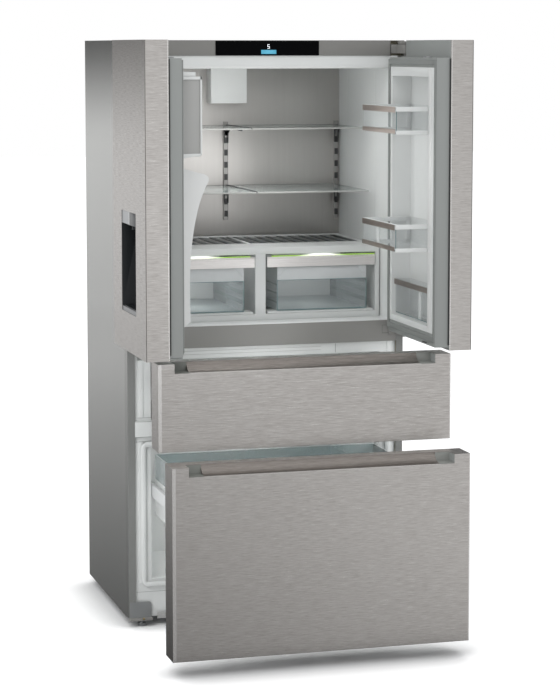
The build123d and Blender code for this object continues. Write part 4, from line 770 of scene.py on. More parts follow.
class Shape:
    """A mesh in the making, in millimetres of the shared frame."""

    def __init__(self, name: str) -> None:
        """Start an empty mesh.

        Args:
            name: Name of the finished piece.
        """
        self.name = name
        self.mesh = bmesh.new()

    @classmethod
    def of_node(cls, shop: Workshop, node: str) -> Shape:
        """Merged copy of a CAD node, with its flat faces whole again.

        Args:
            shop: The workshop that holds the frame.
            node: The CAD node's name.

        Returns:
            The copy as a new shape.
        """
        shape = cls(f"{node}_dressed")
        shape.mesh.from_mesh(shop.nodes[node].data)
        bmesh.ops.scale(shape.mesh, vec=(1 / MM, 1 / MM, 1 / MM), verts=shape.mesh.verts)
        bmesh.ops.remove_doubles(shape.mesh, verts=shape.mesh.verts, dist=0.01)
        bmesh.ops.dissolve_limit(
            shape.mesh,
            angle_limit=math.radians(0.8),
            use_dissolve_boundaries=False,
            verts=shape.mesh.verts,
            edges=shape.mesh.edges,
            delimit=set(),
        )
        return shape

    def edges_between(
        self, low: Point, high: Point, least: float = 0.0
    ) -> list[bmesh.types.BMEdge]:
        """Sharp edges whose two ends lie in a box.

        Args:
            low: Lowest corner.
            high: Highest corner.
            least: Shortest length taken.

        Returns:
            The edges.
        """
        found = []
        for edge in self.mesh.edges:
            if len(edge.link_faces) != 2 or edge.calc_face_angle(0.0) < SHARP:
                continue
            inside = all(
                low[i] - 0.05 <= v.co[i] <= high[i] + 0.05 for v in edge.verts for i in range(3)
            )
            if inside and edge.calc_length() >= least:
                found.append(edge)
        return found

    def round_edges(
        self, width: float, segments: int = 2, least: float = 0.0, edges: list | None = None
    ) -> Shape:
        """Round sharp edges.

        Args:
            width: Width of the rounding.
            segments: Steps across it.
            least: Shortest edge that is rounded.
            edges: The edges, or nothing for every sharp one.

        Returns:
            This shape.
        """
        far = 1e6
        chosen = self.edges_between((-far,) * 3, (far,) * 3, least) if edges is None else edges
        if chosen:
            bmesh.ops.bevel(
                self.mesh,
                geom=chosen,
                offset=width,
                offset_type="OFFSET",
                segments=segments,
                profile=0.5,
                affect="EDGES",
                clamp_overlap=True,
                material=-1,
            )
        return self

    def paint(self, index: int, where: Where) -> Shape:
        """Give some faces another of the piece's materials.

        Args:
            index: Place of the material in the piece's list.
            where: Tells from a face's centre and normal whether it is painted.

        Returns:
            This shape.
        """
        for face in self.mesh.faces:
            if where(face.calc_center_median(), face.normal):
                face.material_index = index
        return self

    def block(
        self, low: Point, high: Point, edge: float = 0.0, segments: int = 2, index: int = 0
    ) -> Shape:
        """Add a box between two corners.

        Args:
            low: One corner.
            high: The opposite corner.
            edge: Width of its rounded edges.
            segments: Steps across the rounding.
            index: Its material in the piece's list.

        Returns:
            This shape.
        """
        size = [abs(high[i] - low[i]) for i in range(3)]
        middle = [(high[i] + low[i]) / 2 for i in range(3)]
        place = Matrix.Translation(middle) @ Matrix.Diagonal((*size, 1.0))
        made = bmesh.ops.create_cube(self.mesh, size=1.0, matrix=place)
        self._close(made["verts"], edge, segments, index)
        return self

    def _close(self, verts: list, edge: float, segments: int, index: int) -> None:
        """Set the material of newly made faces and round their edges.

        Args:
            verts: The new vertices.
            edge: Width of the rounding.
            segments: Steps across it.
            index: Material in the piece's list.
        """
        faces = {face for vert in verts for face in vert.link_faces}
        for face in faces:
            face.material_index = index
        if edge > 0:
            edges = {line for vert in verts for line in vert.link_edges}
            sharp = [e for e in edges if e.calc_face_angle(0.0) > SHARP]
            self.round_edges(edge, segments, edges=sharp)

    def prism(
        self,
        outline: Sequence[Point2],
        axis: Axis,
        low: float,
        high: float,
        edge: float = 0.0,
        index: int = 0,
    ) -> Shape:
        """Add a prism drawn on a plane across an axis.

        Args:
            outline: Points in the other two axes, in their order.
            axis: The axis it is pulled along.
            low: Where it starts on that axis.
            high: Where it ends.
            edge: Width of its rounded edges.
            index: Its material in the piece's list.

        Returns:
            This shape.
        """
        corners = []
        for first, second in outline:
            place = [first, second]
            place.insert(axis.value, low)
            corners.append(self.mesh.verts.new(place))
        base = self.mesh.faces.new(corners)
        pulled = bmesh.ops.extrude_face_region(self.mesh, geom=[base], use_keep_orig=True)
        moved = [v for v in pulled["geom"] if isinstance(v, bmesh.types.BMVert)]
        step = Vector((0, 0, 0))
        step[axis.value] = high - low
        bmesh.ops.translate(self.mesh, verts=moved, vec=step)
        verts = corners + moved
        faces = {face for vert in verts for face in vert.link_faces}
        bmesh.ops.recalc_face_normals(self.mesh, faces=list(faces))
        self._close(verts, edge, 2, index)
        return self

    def rod(
        self,
        middle: Point,
        axis: Axis,
        radius: float,
        length: float,
        edge: float = 0.0,
        sides: int = 20,
        index: int = 0,
    ) -> Shape:
        """Add a round rod.

        Args:
            middle: Its middle.
            axis: The axis it lies along.
            radius: Its radius.
            length: Its length.
            edge: Width of its rounded rims.
            sides: Faces round it.
            index: Its material in the piece's list.

        Returns:
            This shape.
        """
        turn = {
            Axis.X: Matrix.Rotation(math.pi / 2, 4, "Y"),
            Axis.Y: Matrix.Rotation(-math.pi / 2, 4, "X"),
            Axis.Z: Matrix.Identity(4),
        }[axis]
        made = bmesh.ops.create_cone(
            self.mesh,
            cap_ends=True,
            cap_tris=False,
            segments=sides,
            radius1=radius,
            radius2=radius,
            depth=length,
            matrix=Matrix.Translation(middle) @ turn,
        )
        self._close(made["verts"], edge, 2, index)
        return self

    def door_block(
        self,
        side: Side,
        along: Point2,
        inward: Point2,
        height: Point2,
        edge: float = 0.0,
        index: int = 0,
    ) -> Shape:
        """Add a box on an open door.

        Args:
            side: The door.
            along: Distances of its ends from the door's hinge edge.
            inward: Distances of its faces from the door's outer face.
            height: Heights of its foot and top over the floor.
            edge: Width of its rounded edges.
            index: Its material in the piece's list.

        Returns:
            This shape.
        """
        first, second = (door_point(side, *ends) for ends in zip(along, inward, height))
        return self.block(first, second, edge, index=index)

    def bead(
        self, half: float, span: Point2, corner: float, profile: Sequence[Point2]
    ) -> Shape:
        """Add a bead that runs round a front opening with rounded corners.

        Args:
            half: Half width of its outer outline, about the middle of the object.
            span: Lowest and highest Z of its outer outline.
            corner: Radius of its outer corners.
            profile: Pairs of the inset from the outer outline and Y.

        Returns:
            This shape.
        """
        rings = []
        low, high = span
        quarters = ((1, 1, high), (-1, 1, high), (-1, -1, low), (1, -1, low))
        for inset, y in profile:
            radius = max(corner - inset, 0.5)
            ring = []
            for turn, (right, up, z) in enumerate(quarters):
                x0 = right * (half - inset - radius)
                z0 = z - up * (inset + radius)
                for step in range(QUARTER_STEPS + 1):
                    angle = math.radians(90.0 * (turn + step / QUARTER_STEPS))
                    place = (x0 + radius * math.cos(angle), y, z0 + radius * math.sin(angle))
                    ring.append(self.mesh.verts.new(place))
            rings.append(ring)
        faces = []
        for outer, inner in zip(rings, rings[1:]):
            for index, vert in enumerate(outer):
                after = (index + 1) % len(outer)
                faces.append(self.mesh.faces.new((vert, outer[after], inner[after], inner[index])))
        bmesh.ops.recalc_face_normals(self.mesh, faces=faces)
        if sum(face.normal.y for face in faces) > 0:
            bmesh.ops.reverse_faces(self.mesh, faces=faces)
        return self

    def finish(
        self,
        shop: Workshop,
        body: str,
        slot: str,
        finishes: Sequence[Finish],
        replaces: Sequence[str] = (),
        soft: bool = False,
    ) -> bpy.types.Object:
        """Turn the shape into a piece of the object.

        Args:
            shop: The workshop.
            body: CAD body that it rides on.
            slot: The record's material slot; not used.
            finishes: Its finishes, in the order of the material indices.
            replaces: CAD nodes that it stands for.
            soft: Whether large roundings need weighted normals.

        Returns:
            The finished object.
        """
        bmesh.ops.scale(self.mesh, vec=(MM, MM, MM), verts=self.mesh.verts)
        data = bpy.data.meshes.new(self.name)
        for face in self.mesh.faces:
            face.smooth = True
        self.mesh.to_mesh(data)
        self.mesh.free()
        data.set_sharp_from_angle(angle=SHARP)
        for finish in finishes:
            data.materials.append(shop.palette.of(finish))
        piece = bpy.data.objects.new(self.name, data)
        bpy.context.scene.collection.objects.link(piece)
        if soft:
            piece.modifiers.new("even_normals", "WEIGHTED_NORMAL").keep_sharp = True
        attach(piece, body)
        if replaces:
            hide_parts(*replaces)
        shop.count += 1
        LOG.info("piece %s on %s, %d faces", self.name, body, len(data.polygons))
        return piece


class Workshop:
    """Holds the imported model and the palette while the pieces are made."""

    def __init__(self, frame: dict) -> None:
        """Take over the loaded frame.
        """
        self.nodes = frame["nodes"]
        self.palette = Palette()
        self.slots = {row["node"]: row["material_slot"] for row in frame["record"]["subparts"]}
        self.count = 0

    def keep(self, finish: Finish, *nodes: str) -> None:
        """Leave CAD nodes as they are and give them a material.

        Args:
            finish: Their finish.
            nodes: Their names.
        """
        for name in nodes:
            slots = self.nodes[name].data.materials
            slots.clear()
            slots.append(self.palette.of(finish))
            LOG.info("node %s takes %s", name, finish.name)

    def dress(
        self,
        node: str,
        finishes: Sequence[Finish],
        edge: float = 0.8,
        least: float = 3.0,
        paint: Sequence[tuple[int, Where]] = (),
        soft: bool = False,
    ) -> bpy.types.Object:
        """Replace a CAD node by a merged copy of it with rounded edges.

        Args:
            node: The CAD node.
            finishes: Its finishes.
            edge: Width of its rounded edges.
            least: Shortest edge that is rounded.
            paint: Pairs of a material index and a test for the faces that take it.
            soft: Whether it needs weighted normals.

        Returns:
            The finished object.
        """
        shape = Shape.of_node(self, node)
        for index, where in paint:
            shape.paint(index, where)
        if edge > 0:
            shape.round_edges(edge, least=least)
        body = self.nodes[node]["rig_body"]
        return shape.finish(self, body, self.slots[node], finishes, (node,), soft)


# Sub-assemblies


@dataclass
class Studio:
    """Floor, light and camera, which are no part of the object."""

    floor_size: float = 60.0
    floor_drop: float = 0.0005
    floor_tone: float = 0.85
    sensor: float = 36.0
    far_clip: float = 200.0
    camera_place: Point = (-1.8871, -6.7543, 1.8121)
    camera_pitch: float = 0.1035
    camera_turn: float = 0.2785
    lens: float = 115.05
    shift: float = -0.1
    ambient: float = 0.84
    key: float = 0.56
    lift: float = 0.41
    lift_reach: float = 0.15
    lift_range: Point2 = (0.5, 1.0)
    fill: float = 0.3

    def camera(self) -> None:
        """Set the camera where the photograph was taken from."""
        data = bpy.data.cameras.new("camera")
        data.lens = self.lens
        data.sensor_width = self.sensor
        data.shift_y = self.shift
        data.clip_end = self.far_clip
        seer = bpy.data.objects.new("camera", data)
        seer.location = self.camera_place
        seer.rotation_euler = (math.pi / 2 - self.camera_pitch, 0.0, -self.camera_turn)
        bpy.context.scene.collection.objects.link(seer)
        bpy.context.scene.camera = seer

    def sheet(
        self, name: str, mesh: bmesh.types.BMesh, material: bpy.types.Material
    ) -> bpy.types.Object:
        """Put a flat mesh into the scene.

        Args:
            name: The object's name.
            mesh: Its mesh, which is used up.
            material: Its material.

        Returns:
            The object.
        """
        data = bpy.data.meshes.new(name)
        mesh.to_mesh(data)
        mesh.free()
        data.materials.append(material)
        laid = bpy.data.objects.new(name, data)
        bpy.context.scene.collection.objects.link(laid)
        return laid

    def floor(self) -> None:
        """Lay the pale floor, which keeps the object's shadow.

        Where nothing stands close over it, it also glows a little for what sees it.
        """
        mesh = bmesh.new()
        bmesh.ops.create_grid(
            mesh, x_segments=4, y_segments=4, size=self.floor_size / 2,
            matrix=Matrix.Translation((0, 0, -self.floor_drop)),
        )
        material, wires, output = bare_material("pale_floor")
        matt = wires.node("ShaderNodeBsdfDiffuse")
        matt.inputs[0].default_value = (self.floor_tone, self.floor_tone, self.floor_tone, 1.0)
        lift = wires.node("ShaderNodeEmission")
        openness = wires.node("ShaderNodeAmbientOcclusion", samples=16)
        openness.inputs["Distance"].default_value = self.lift_reach
        clear = wires.node("ShaderNodeMapRange", interpolation_type="SMOOTHSTEP")
        wires.join(openness.outputs["AO"], clear.inputs["Value"])
        clear.inputs["From Min"].default_value, clear.inputs["From Max"].default_value = (
            self.lift_range
        )
        clear.inputs["To Min"].default_value = 0.0
        clear.inputs["To Max"].default_value = self.lift
        shown = wires.math("MULTIPLY", wires.sight(), clear.outputs["Result"])
        wires.join(shown, lift.inputs["Strength"])
        both = wires.node("ShaderNodeAddShader")
        wires.join(matt.outputs[0], both.inputs[0])
        wires.join(lift.outputs[0], both.inputs[1])
        wires.join(both.outputs[0], output.inputs["Surface"])
        self.sheet("floor", mesh, material)

    def card(
        self, name: str, place: Matrix, size: Point2, axis: Axis, span: Point2, tones: Point2
    ) -> None:
        """Put up a grey card that only shiny surfaces see, as photographers flag metal.

        Args:
            name: Its name.
            place: Its place and turn, in metres.
            size: Its half width and half height in metres.
            axis: The axis along which its tone changes.
            span: Where the change starts and ends, in metres.
            tones: Its brightness at both ends of the change.
        """
        mesh = bmesh.new()
        matrix = place @ Matrix.Diagonal((size[0], size[1], 1.0, 1.0))
        bmesh.ops.create_grid(mesh, x_segments=2, y_segments=2, size=1.0, matrix=matrix)
        material, wires, output = bare_material(name)
        where = wires.node("ShaderNodeTexCoord")
        parts = wires.node("ShaderNodeSeparateXYZ")
        wires.join(where.outputs["Object"], parts.inputs[0])
        change = wires.node("ShaderNodeMapRange")
        wires.join(parts.outputs[axis.value], change.inputs["Value"])
        change.inputs["From Min"].default_value, change.inputs["From Max"].default_value = span
        change.inputs["To Min"].default_value, change.inputs["To Max"].default_value = tones
        grey = wires.node("ShaderNodeEmission")
        wires.join(change.outputs["Result"], grey.inputs["Strength"])
        wires.join(grey.outputs[0], output.inputs["Surface"])
        board = self.sheet(name, mesh, material)
        board.visible_camera = False
        board.visible_diffuse = False
        board.visible_transmission = False
        board.visible_shadow = False

    def cards(self) -> None:
        """Grey cards over the floor and above the horizon, which shade the metal softly."""
        upright = Matrix.Rotation(math.pi / 2, 4, "X")
        floor = 0.001
        rows = (
            ("near_floor_card", (0.0, -1.2, floor), False,
             (8.0, 0.45), Axis.X, (-0.7, 1.5), (0.22, 0.76)),
            ("middle_floor_card", (0.0, -2.75, floor), False,
             (8.0, 1.1), Axis.X, (-0.7, 1.7), (0.23, 0.84)),
            ("far_floor_card", (0.0, -5.25, floor), False,
             (8.0, 1.4), Axis.X, (-0.7, 1.7), (0.17, 0.46)),
            ("right_front_card", (5.7, -7.0, 4.0), True,
             (3.3, 3.99), Axis.Z, (0.3, 2.0), (0.76, 0.62)),
            ("rear_floor_card", (0.0, 4.1, floor), False,
             (8.0, 4.85), Axis.Y, (-0.75, 6.0), (0.03, 0.62)),
            ("front_card", (0.0, -9.0, 4.65), True,
             (9.0, 3.4), Axis.Z, (1.3, 2.0), (1.0, 0.56)),
            ("low_rear_card", (0.0, 9.0, 0.61), True,
             (9.0, 0.6), Axis.Z, (0.0, 1.2), (0.66, 0.9)),
            ("high_rear_card", (0.0, 8.9, 4.6), True,
             (9.0, 3.4), Axis.Z, (1.25, 1.8), (0.9, 0.08)),
        )
        for name, place, stands, size, axis, span, tones in rows:
            turn = upright if stands else Matrix.Identity(4)
            self.card(name, Matrix.Translation(place) @ turn, size, axis, span, tones)

    def world(self) -> None:
        """White backdrop for what is seen, plain ambient light for the rest."""
        world = bpy.data.worlds.new("studio")
        world.use_nodes = True
        bpy.context.scene.world = world
        wires = Wiring(world.node_tree)
        world.node_tree.nodes.clear()
        output = wires.node("ShaderNodeOutputWorld")
        white = wires.node("ShaderNodeBackground")
        white.inputs["Color"].default_value = (1.0, 1.0, 1.0, 1.0)
        soft = wires.node("ShaderNodeBackground")
        soft.inputs["Color"].default_value = (0.98, 0.99, 1.0, 1.0)
        soft.inputs["Strength"].default_value = self.ambient
        mixed = wires.node("ShaderNodeMixShader")
        wires.join(wires.sight(), mixed.inputs[0])
        wires.join(soft.outputs[0], mixed.inputs[1])
        wires.join(white.outputs[0], mixed.inputs[2])
        wires.join(mixed.outputs[0], output.inputs["Surface"])

    def lamp(
        self, name: str, kind: str, energy: float, place: Point, aim: Point, **size: object
    ) -> bpy.types.Object:
        """Hang one lamp.

        Args:
            name: Its name.
            kind: SUN, AREA or POINT.
            energy: Its strength in Blender's unit for that kind.
            place: Where it hangs, in metres.
            aim: The point that it looks at.
            size: Further settings of the lamp.

        Returns:
            The lamp's object.
        """
        data = bpy.data.lights.new(name, kind)
        data.energy = energy
        for label, value in size.items():
            setattr(data, label, value)
        lamp = bpy.data.objects.new(name, data)
        lamp.location = place
        lamp.rotation_euler = (Vector(aim) - Vector(place)).to_track_quat("-Z", "Y").to_euler()
        lamp.visible_camera = False
        bpy.context.scene.collection.objects.link(lamp)
        return lamp

    def build(self) -> None:
        """Set up camera, floor, cards, world and lamps."""
        self.camera()
        self.floor()
        self.cards()
        self.world()
        suns = (
            ("key_light", self.key, (-3.0, -4.0, 6.0), (0.0, 0.0, 0.8), 30),
            ("fill_light", self.fill, (5.0, -5.0, 2.5), (0.0, 0.0, 1.0), 40),
        )
        for name, energy, place, aim, spread in suns:
            angle = math.radians(spread)
            sun = self.lamp(name, "SUN", energy, place, aim, angle=angle)
            sun.visible_glossy = False
        self.inner_lamps()

    def inner_lamps(self) -> None:
        """Hang the lamps that light the spaces inside."""
        row = (
            ("door_lamp", 0.9, (0.1, -0.28, 1.44), 0.16),
            ("fridge_lamp", 0.8, (0.06, 0.07, 1.42), 0.15),
            ("upper_fridge_lamp", 0.75, (-0.12, 0.07, 1.58), 0.14),
            ("ceiling_lamp", 0.45, (-0.2, 0.16, 1.67), 0.05),
            ("shelf_lamp", 0.75, (-0.05, 0.25, 1.44), 0.05),
            ("deck_lamp", 0.3, (0.0, 0.25, 1.28), 0.05),
            ("left_crisper_lamp", 0.85, (-0.2, 0.22, 1.10), 0.04),
            ("right_crisper_lamp", 0.42, (0.2, 0.22, 1.10), 0.04),
            ("bar_lamp", 0.2, (0.05, -0.16, 0.91), 0.04),
            ("strip_lamp", 0.4, (-0.05, -0.2, 0.84), 0.04),
            ("middle_space_lamp", 1.4, (0.0, 0.38, 0.75), 0.05),
            ("bottom_space_lamp", 1.1, (0.0, 0.25, 0.56), 0.05),
            ("low_space_lamp", 0.45, (-0.15, 0.12, 0.27), 0.05),
            ("upper_gap_lamp", 1.0, (-0.62, -0.25, 0.72), 0.12),
            ("lower_gap_lamp", 1.2, (-0.62, -0.3, 0.36), 0.12),
            ("right_gap_lamp", 1.6, (0.62, -0.22, 0.66), 0.12),
        )
        for name, watts, place, radius in row:
            hung = self.lamp(name, "POINT", watts, place, (0.0, 0.0, 0.0), shadow_soft_size=radius)
            hung.visible_glossy = name.endswith("fridge_lamp")
            hung.visible_transmission = False


@dataclass
class CabinetBody:
    """Outer sheets, base, bars and fascia of the cabinet."""

    half_width: float = 454.0
    height: float = 1835.0
    depth: float = 630.0
    patch: tuple[float, float] = (-21.0, 28.0)
    patch_height: tuple[float, float] = (1792.5, 1805.0)
    digit_place: tuple[float, float] = (3.0, 1815.5)
    digit_size: tuple[float, float] = (7.0, 13.0)
    stroke: float = 1.5
    screw_radius: float = 5.0
    screw_columns: tuple[float, ...] = (-430.0, -215.0, 0.0, 215.0, 430.0)
    screw_rows: tuple[float, ...] = (60.0, 320.0, 1812.0)
    side_screw_rows: tuple[float, ...] = (620.0, 920.0, 1220.0, 1520.0)
    rear_beads: tuple[float, ...] = (340.0, 700.0, 1060.0, 1420.0, 1780.0)
    hinge_plate_shade_lines: tuple[tuple[Point2, Point2], ...] = (
        ((381.0, 414.0), (902.5, 904.5)),
        ((381.0, 414.0), (928.0, 929.2)),
        ((381.0, 382.4), (904.5, 928.0)),
    )
    moulding_seams: tuple[Point, ...] = (
        (376.0, 428.0, 664.0),
        (376.0, 428.0, 651.0),
        (376.0, 428.0, 603.0),
        (376.0, 428.0, 588.5),
        (300.0, 428.0, 110.5),
    )
    opening_bead: tuple[Point2, ...] = (
        (0.0, 0.2), (2.5, -1.7), (7.0, -2.5), (12.0, -1.9), (16.0, 0.2)
    )

    def sheets(self, shop: Workshop) -> None:
        """Dress the shell, the rear sheet, the base and the foam.

        Args:
            shop: The workshop.
        """
        shell = Shape.of_node(shop, "cabinet_shell")
        front = []
        for x in (-self.half_width, self.half_width):
            front += shell.edges_between((x, FRONT, 0.0), (x, FRONT, self.height), 400.0)
        shell.round_edges(3.0, 3, edges=front)
        shell.paint(1, lambda centre, normal: normal.y < -0.9 and centre.y < FRONT + 3.0)
        shell.finish(shop, "cabinet", "painted_sheet", [SIDE_PAINT, FLANGE], ("cabinet_shell",))
        shop.keep(ZINC, "back_panel", "base_frame")
        shop.keep(FOAM, "cabinet_insulation")

    def bars(self, shop: Workshop) -> None:
        """Dress the fascia and both crossbars, and add covers by the hinges and dark lines round
        the hinge plates, which are painted shade.

        Args:
            shop: The workshop.
        """
        shop.dress("upper_crossbar", [CAST_GREY], edge=0.8)
        shop.dress("lower_crossbar", [WHITE], edge=0.8)
        shop.dress("top_fascia", [FASCIA_GREY], edge=0.8)
        ends = Shape("rail_end_covers")
        for low, high, x in ((858.5, 879.0, -271.0), (845.0, 857.5, -275.0)):
            ends.block((-420.0, FRONT - 0.2, low), (x, FRONT + 0.5, high))
        ends.finish(shop, "cabinet", "grey_metal", [COVER_GREY])
        # Painted shade: thin dark lines where the lower hinge plates meet the crossbar.
        plates = Shape("hinge_plate_rims")
        for side in Side:
            for across, height in self.hinge_plate_shade_lines:
                x0, x1 = mirrored(side, *across)
                plates.block((x0, FRONT - 0.2, height[0]), (x1, FRONT + 0.5, height[1]))
        plates.finish(shop, "cabinet", "grey_metal", [PLATE_EDGE_SHADE])
        hinge = Shape("hinge_top_covers")
        for side in Side:
            x0, x1 = mirrored(side, 428.0, 450.0)
            hinge.block((x0, FRONT - 27.0, 1822.0), (x1, FRONT + 0.5, 1832.5), edge=2.0)
        hinge.finish(shop, "cabinet", "grey_metal", [CAST_GREY])

    def seams(self, shop: Workshop) -> None:
        """Draw the joints of the white front mouldings and painted shade at a recess's edges, and
        add the base's small plates.

        Args:
            shop: The workshop.
        """
        lines = Shape("front_moulding_seams")
        for x0, x1, z in self.moulding_seams:
            for side in Side:
                a, b = mirrored(side, x0, x1)
                lines.block((a, FRONT - 0.15, z - 0.5), (b, FRONT + 0.4, z + 0.5))
        lines.block((224.2, FRONT - 0.15, 847.0), (225.6, FRONT + 0.4, 875.0))
        # The two level grey lines stand in for the shaded edges of a shallow recess in the white
        # strip: painted shade.
        for z in (857.0, 867.5):
            lines.block((-395.0, FRONT - 0.15, z - 0.5), (176.0, FRONT + 0.4, z + 0.5), index=1)
        lines.finish(shop, "cabinet", "white_plastic", [COVER_GREY, BOX_GREY])
        plates = Shape("base_front_plates")
        for side in Side:
            a, b = mirrored(side, 290.0, 361.0)
            plates.block((a, FRONT - 1.2, 22.5), (b, FRONT + 0.4, 42.0), edge=0.5)
        plates.finish(shop, "cabinet", "grey_metal", [BOX_GREY])
        bead = Shape("bottom_opening_bead")
        profile = [(inset, FRONT + rise) for inset, rise in self.opening_bead]
        bead.bead(410.0, (125.5, 587.0), 22.0, profile)
        bead.finish(shop, "cabinet", "white_plastic", [WHITE])
        flange = Shape("foot_flanges")
        for side in Side:
            a, b = mirrored(side, 376.0, 452.0)
            flange.block((a, FRONT - 7.0, 19.5), (b, FRONT + 1.0, 29.0), edge=1.2)
            spot = (side.value * 405.0, FRONT - 7.6, 25.5)
            flange.rod(spot, Axis.Y, 3.6, 2.2, edge=0.6, sides=14, index=1)
        flange.finish(shop, "cabinet", "steel_hardware", [CAST_GREY, BRASS])

    def display(self, shop: Workshop) -> None:
        """Dress the display glass and light a plain patch and one digit on it.

        Args:
            shop: The workshop.
        """
        shop.dress("display_glass", [DISPLAY], edge=0.6)
        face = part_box("display_glass")[0].y / MM
        patch = Shape("display_patch")
        patch.block(
            (self.patch[0], face - 0.5, self.patch_height[0]),
            (self.patch[1], face + 0.2, self.patch_height[1]),
            edge=0.3,
        )
        glow = Glow("display_patch_light", (62, 138, 164), middle=(76, 150, 176), centre=3.5,
                    reach=30.0, strength=0.6)
        patch.finish(shop, "cabinet", "black_glass", [glow])
        digit = Shape("display_digit")
        (x, z), (w, h), s = self.digit_place, self.digit_size, self.stroke
        bars = [
            ((-w / 2, h / 2 - s), (w / 2, h / 2)),
            ((-w / 2, 0), (-w / 2 + s, h / 2 - s)),
            ((-w / 2, -s / 2), (w / 2, s / 2)),
            ((w / 2 - s, -h / 2 + s), (w / 2, 0)),
            ((-w / 2, -h / 2), (w / 2, -h / 2 + s)),
        ]
        for (x0, z0), (x1, z1) in bars:
            digit.block((x + x0, face - 0.4, z + z0), (x + x1, face + 0.2, z + z1))
        white = Glow("display_digit_light", (214, 218, 222), middle=(226, 230, 234), strength=0.8)
        digit.finish(shop, "cabinet", "black_glass", [white])

    def rear(self, shop: Workshop) -> None:
        """Put screws and pressed beads on the rear sheet.

        Args:
            shop: The workshop.
        """
        back = behind(self.depth)
        screws = Shape("rear_screws")
        for x in self.screw_columns:
            for z in self.screw_rows:
                screws.rod((x, back + 0.7, z), Axis.Y, self.screw_radius, 1.6, edge=0.5, sides=14)
                low, high = (x - 3.4, back + 1.3, z - 0.5), (x + 3.4, back + 1.7, z + 0.5)
                # A dark bar across each screw head stands in for its slot: painted shade.
                screws.block(low, high, index=1)
        for x in (self.screw_columns[0], self.screw_columns[-1]):
            for z in self.side_screw_rows:
                screws.rod((x, back + 0.7, z), Axis.Y, self.screw_radius, 1.6, edge=0.5, sides=14)
        screws.finish(shop, "cabinet", "zinc_sheet", [HARDWARE, SLOT_SHADE])
        beads = Shape("rear_sheet_beads")
        foot, crest = back - 0.2, back + 1.6
        for z in self.rear_beads:
            outline = [(foot, z - 9), (crest, z - 4), (crest, z + 4), (foot, z + 9)]
            beads.prism(outline, Axis.X, -400.0, 400.0, edge=0.8)
        beads.finish(shop, "cabinet", "zinc_sheet", [ZINC])

    def build(self, shop: Workshop) -> None:
        """Build the cabinet's outside.

        Args:
            shop: The workshop.
        """
        self.sheets(shop)
        self.bars(shop)
        self.seams(shop)
        self.display(shop)
        self.rear(shop)


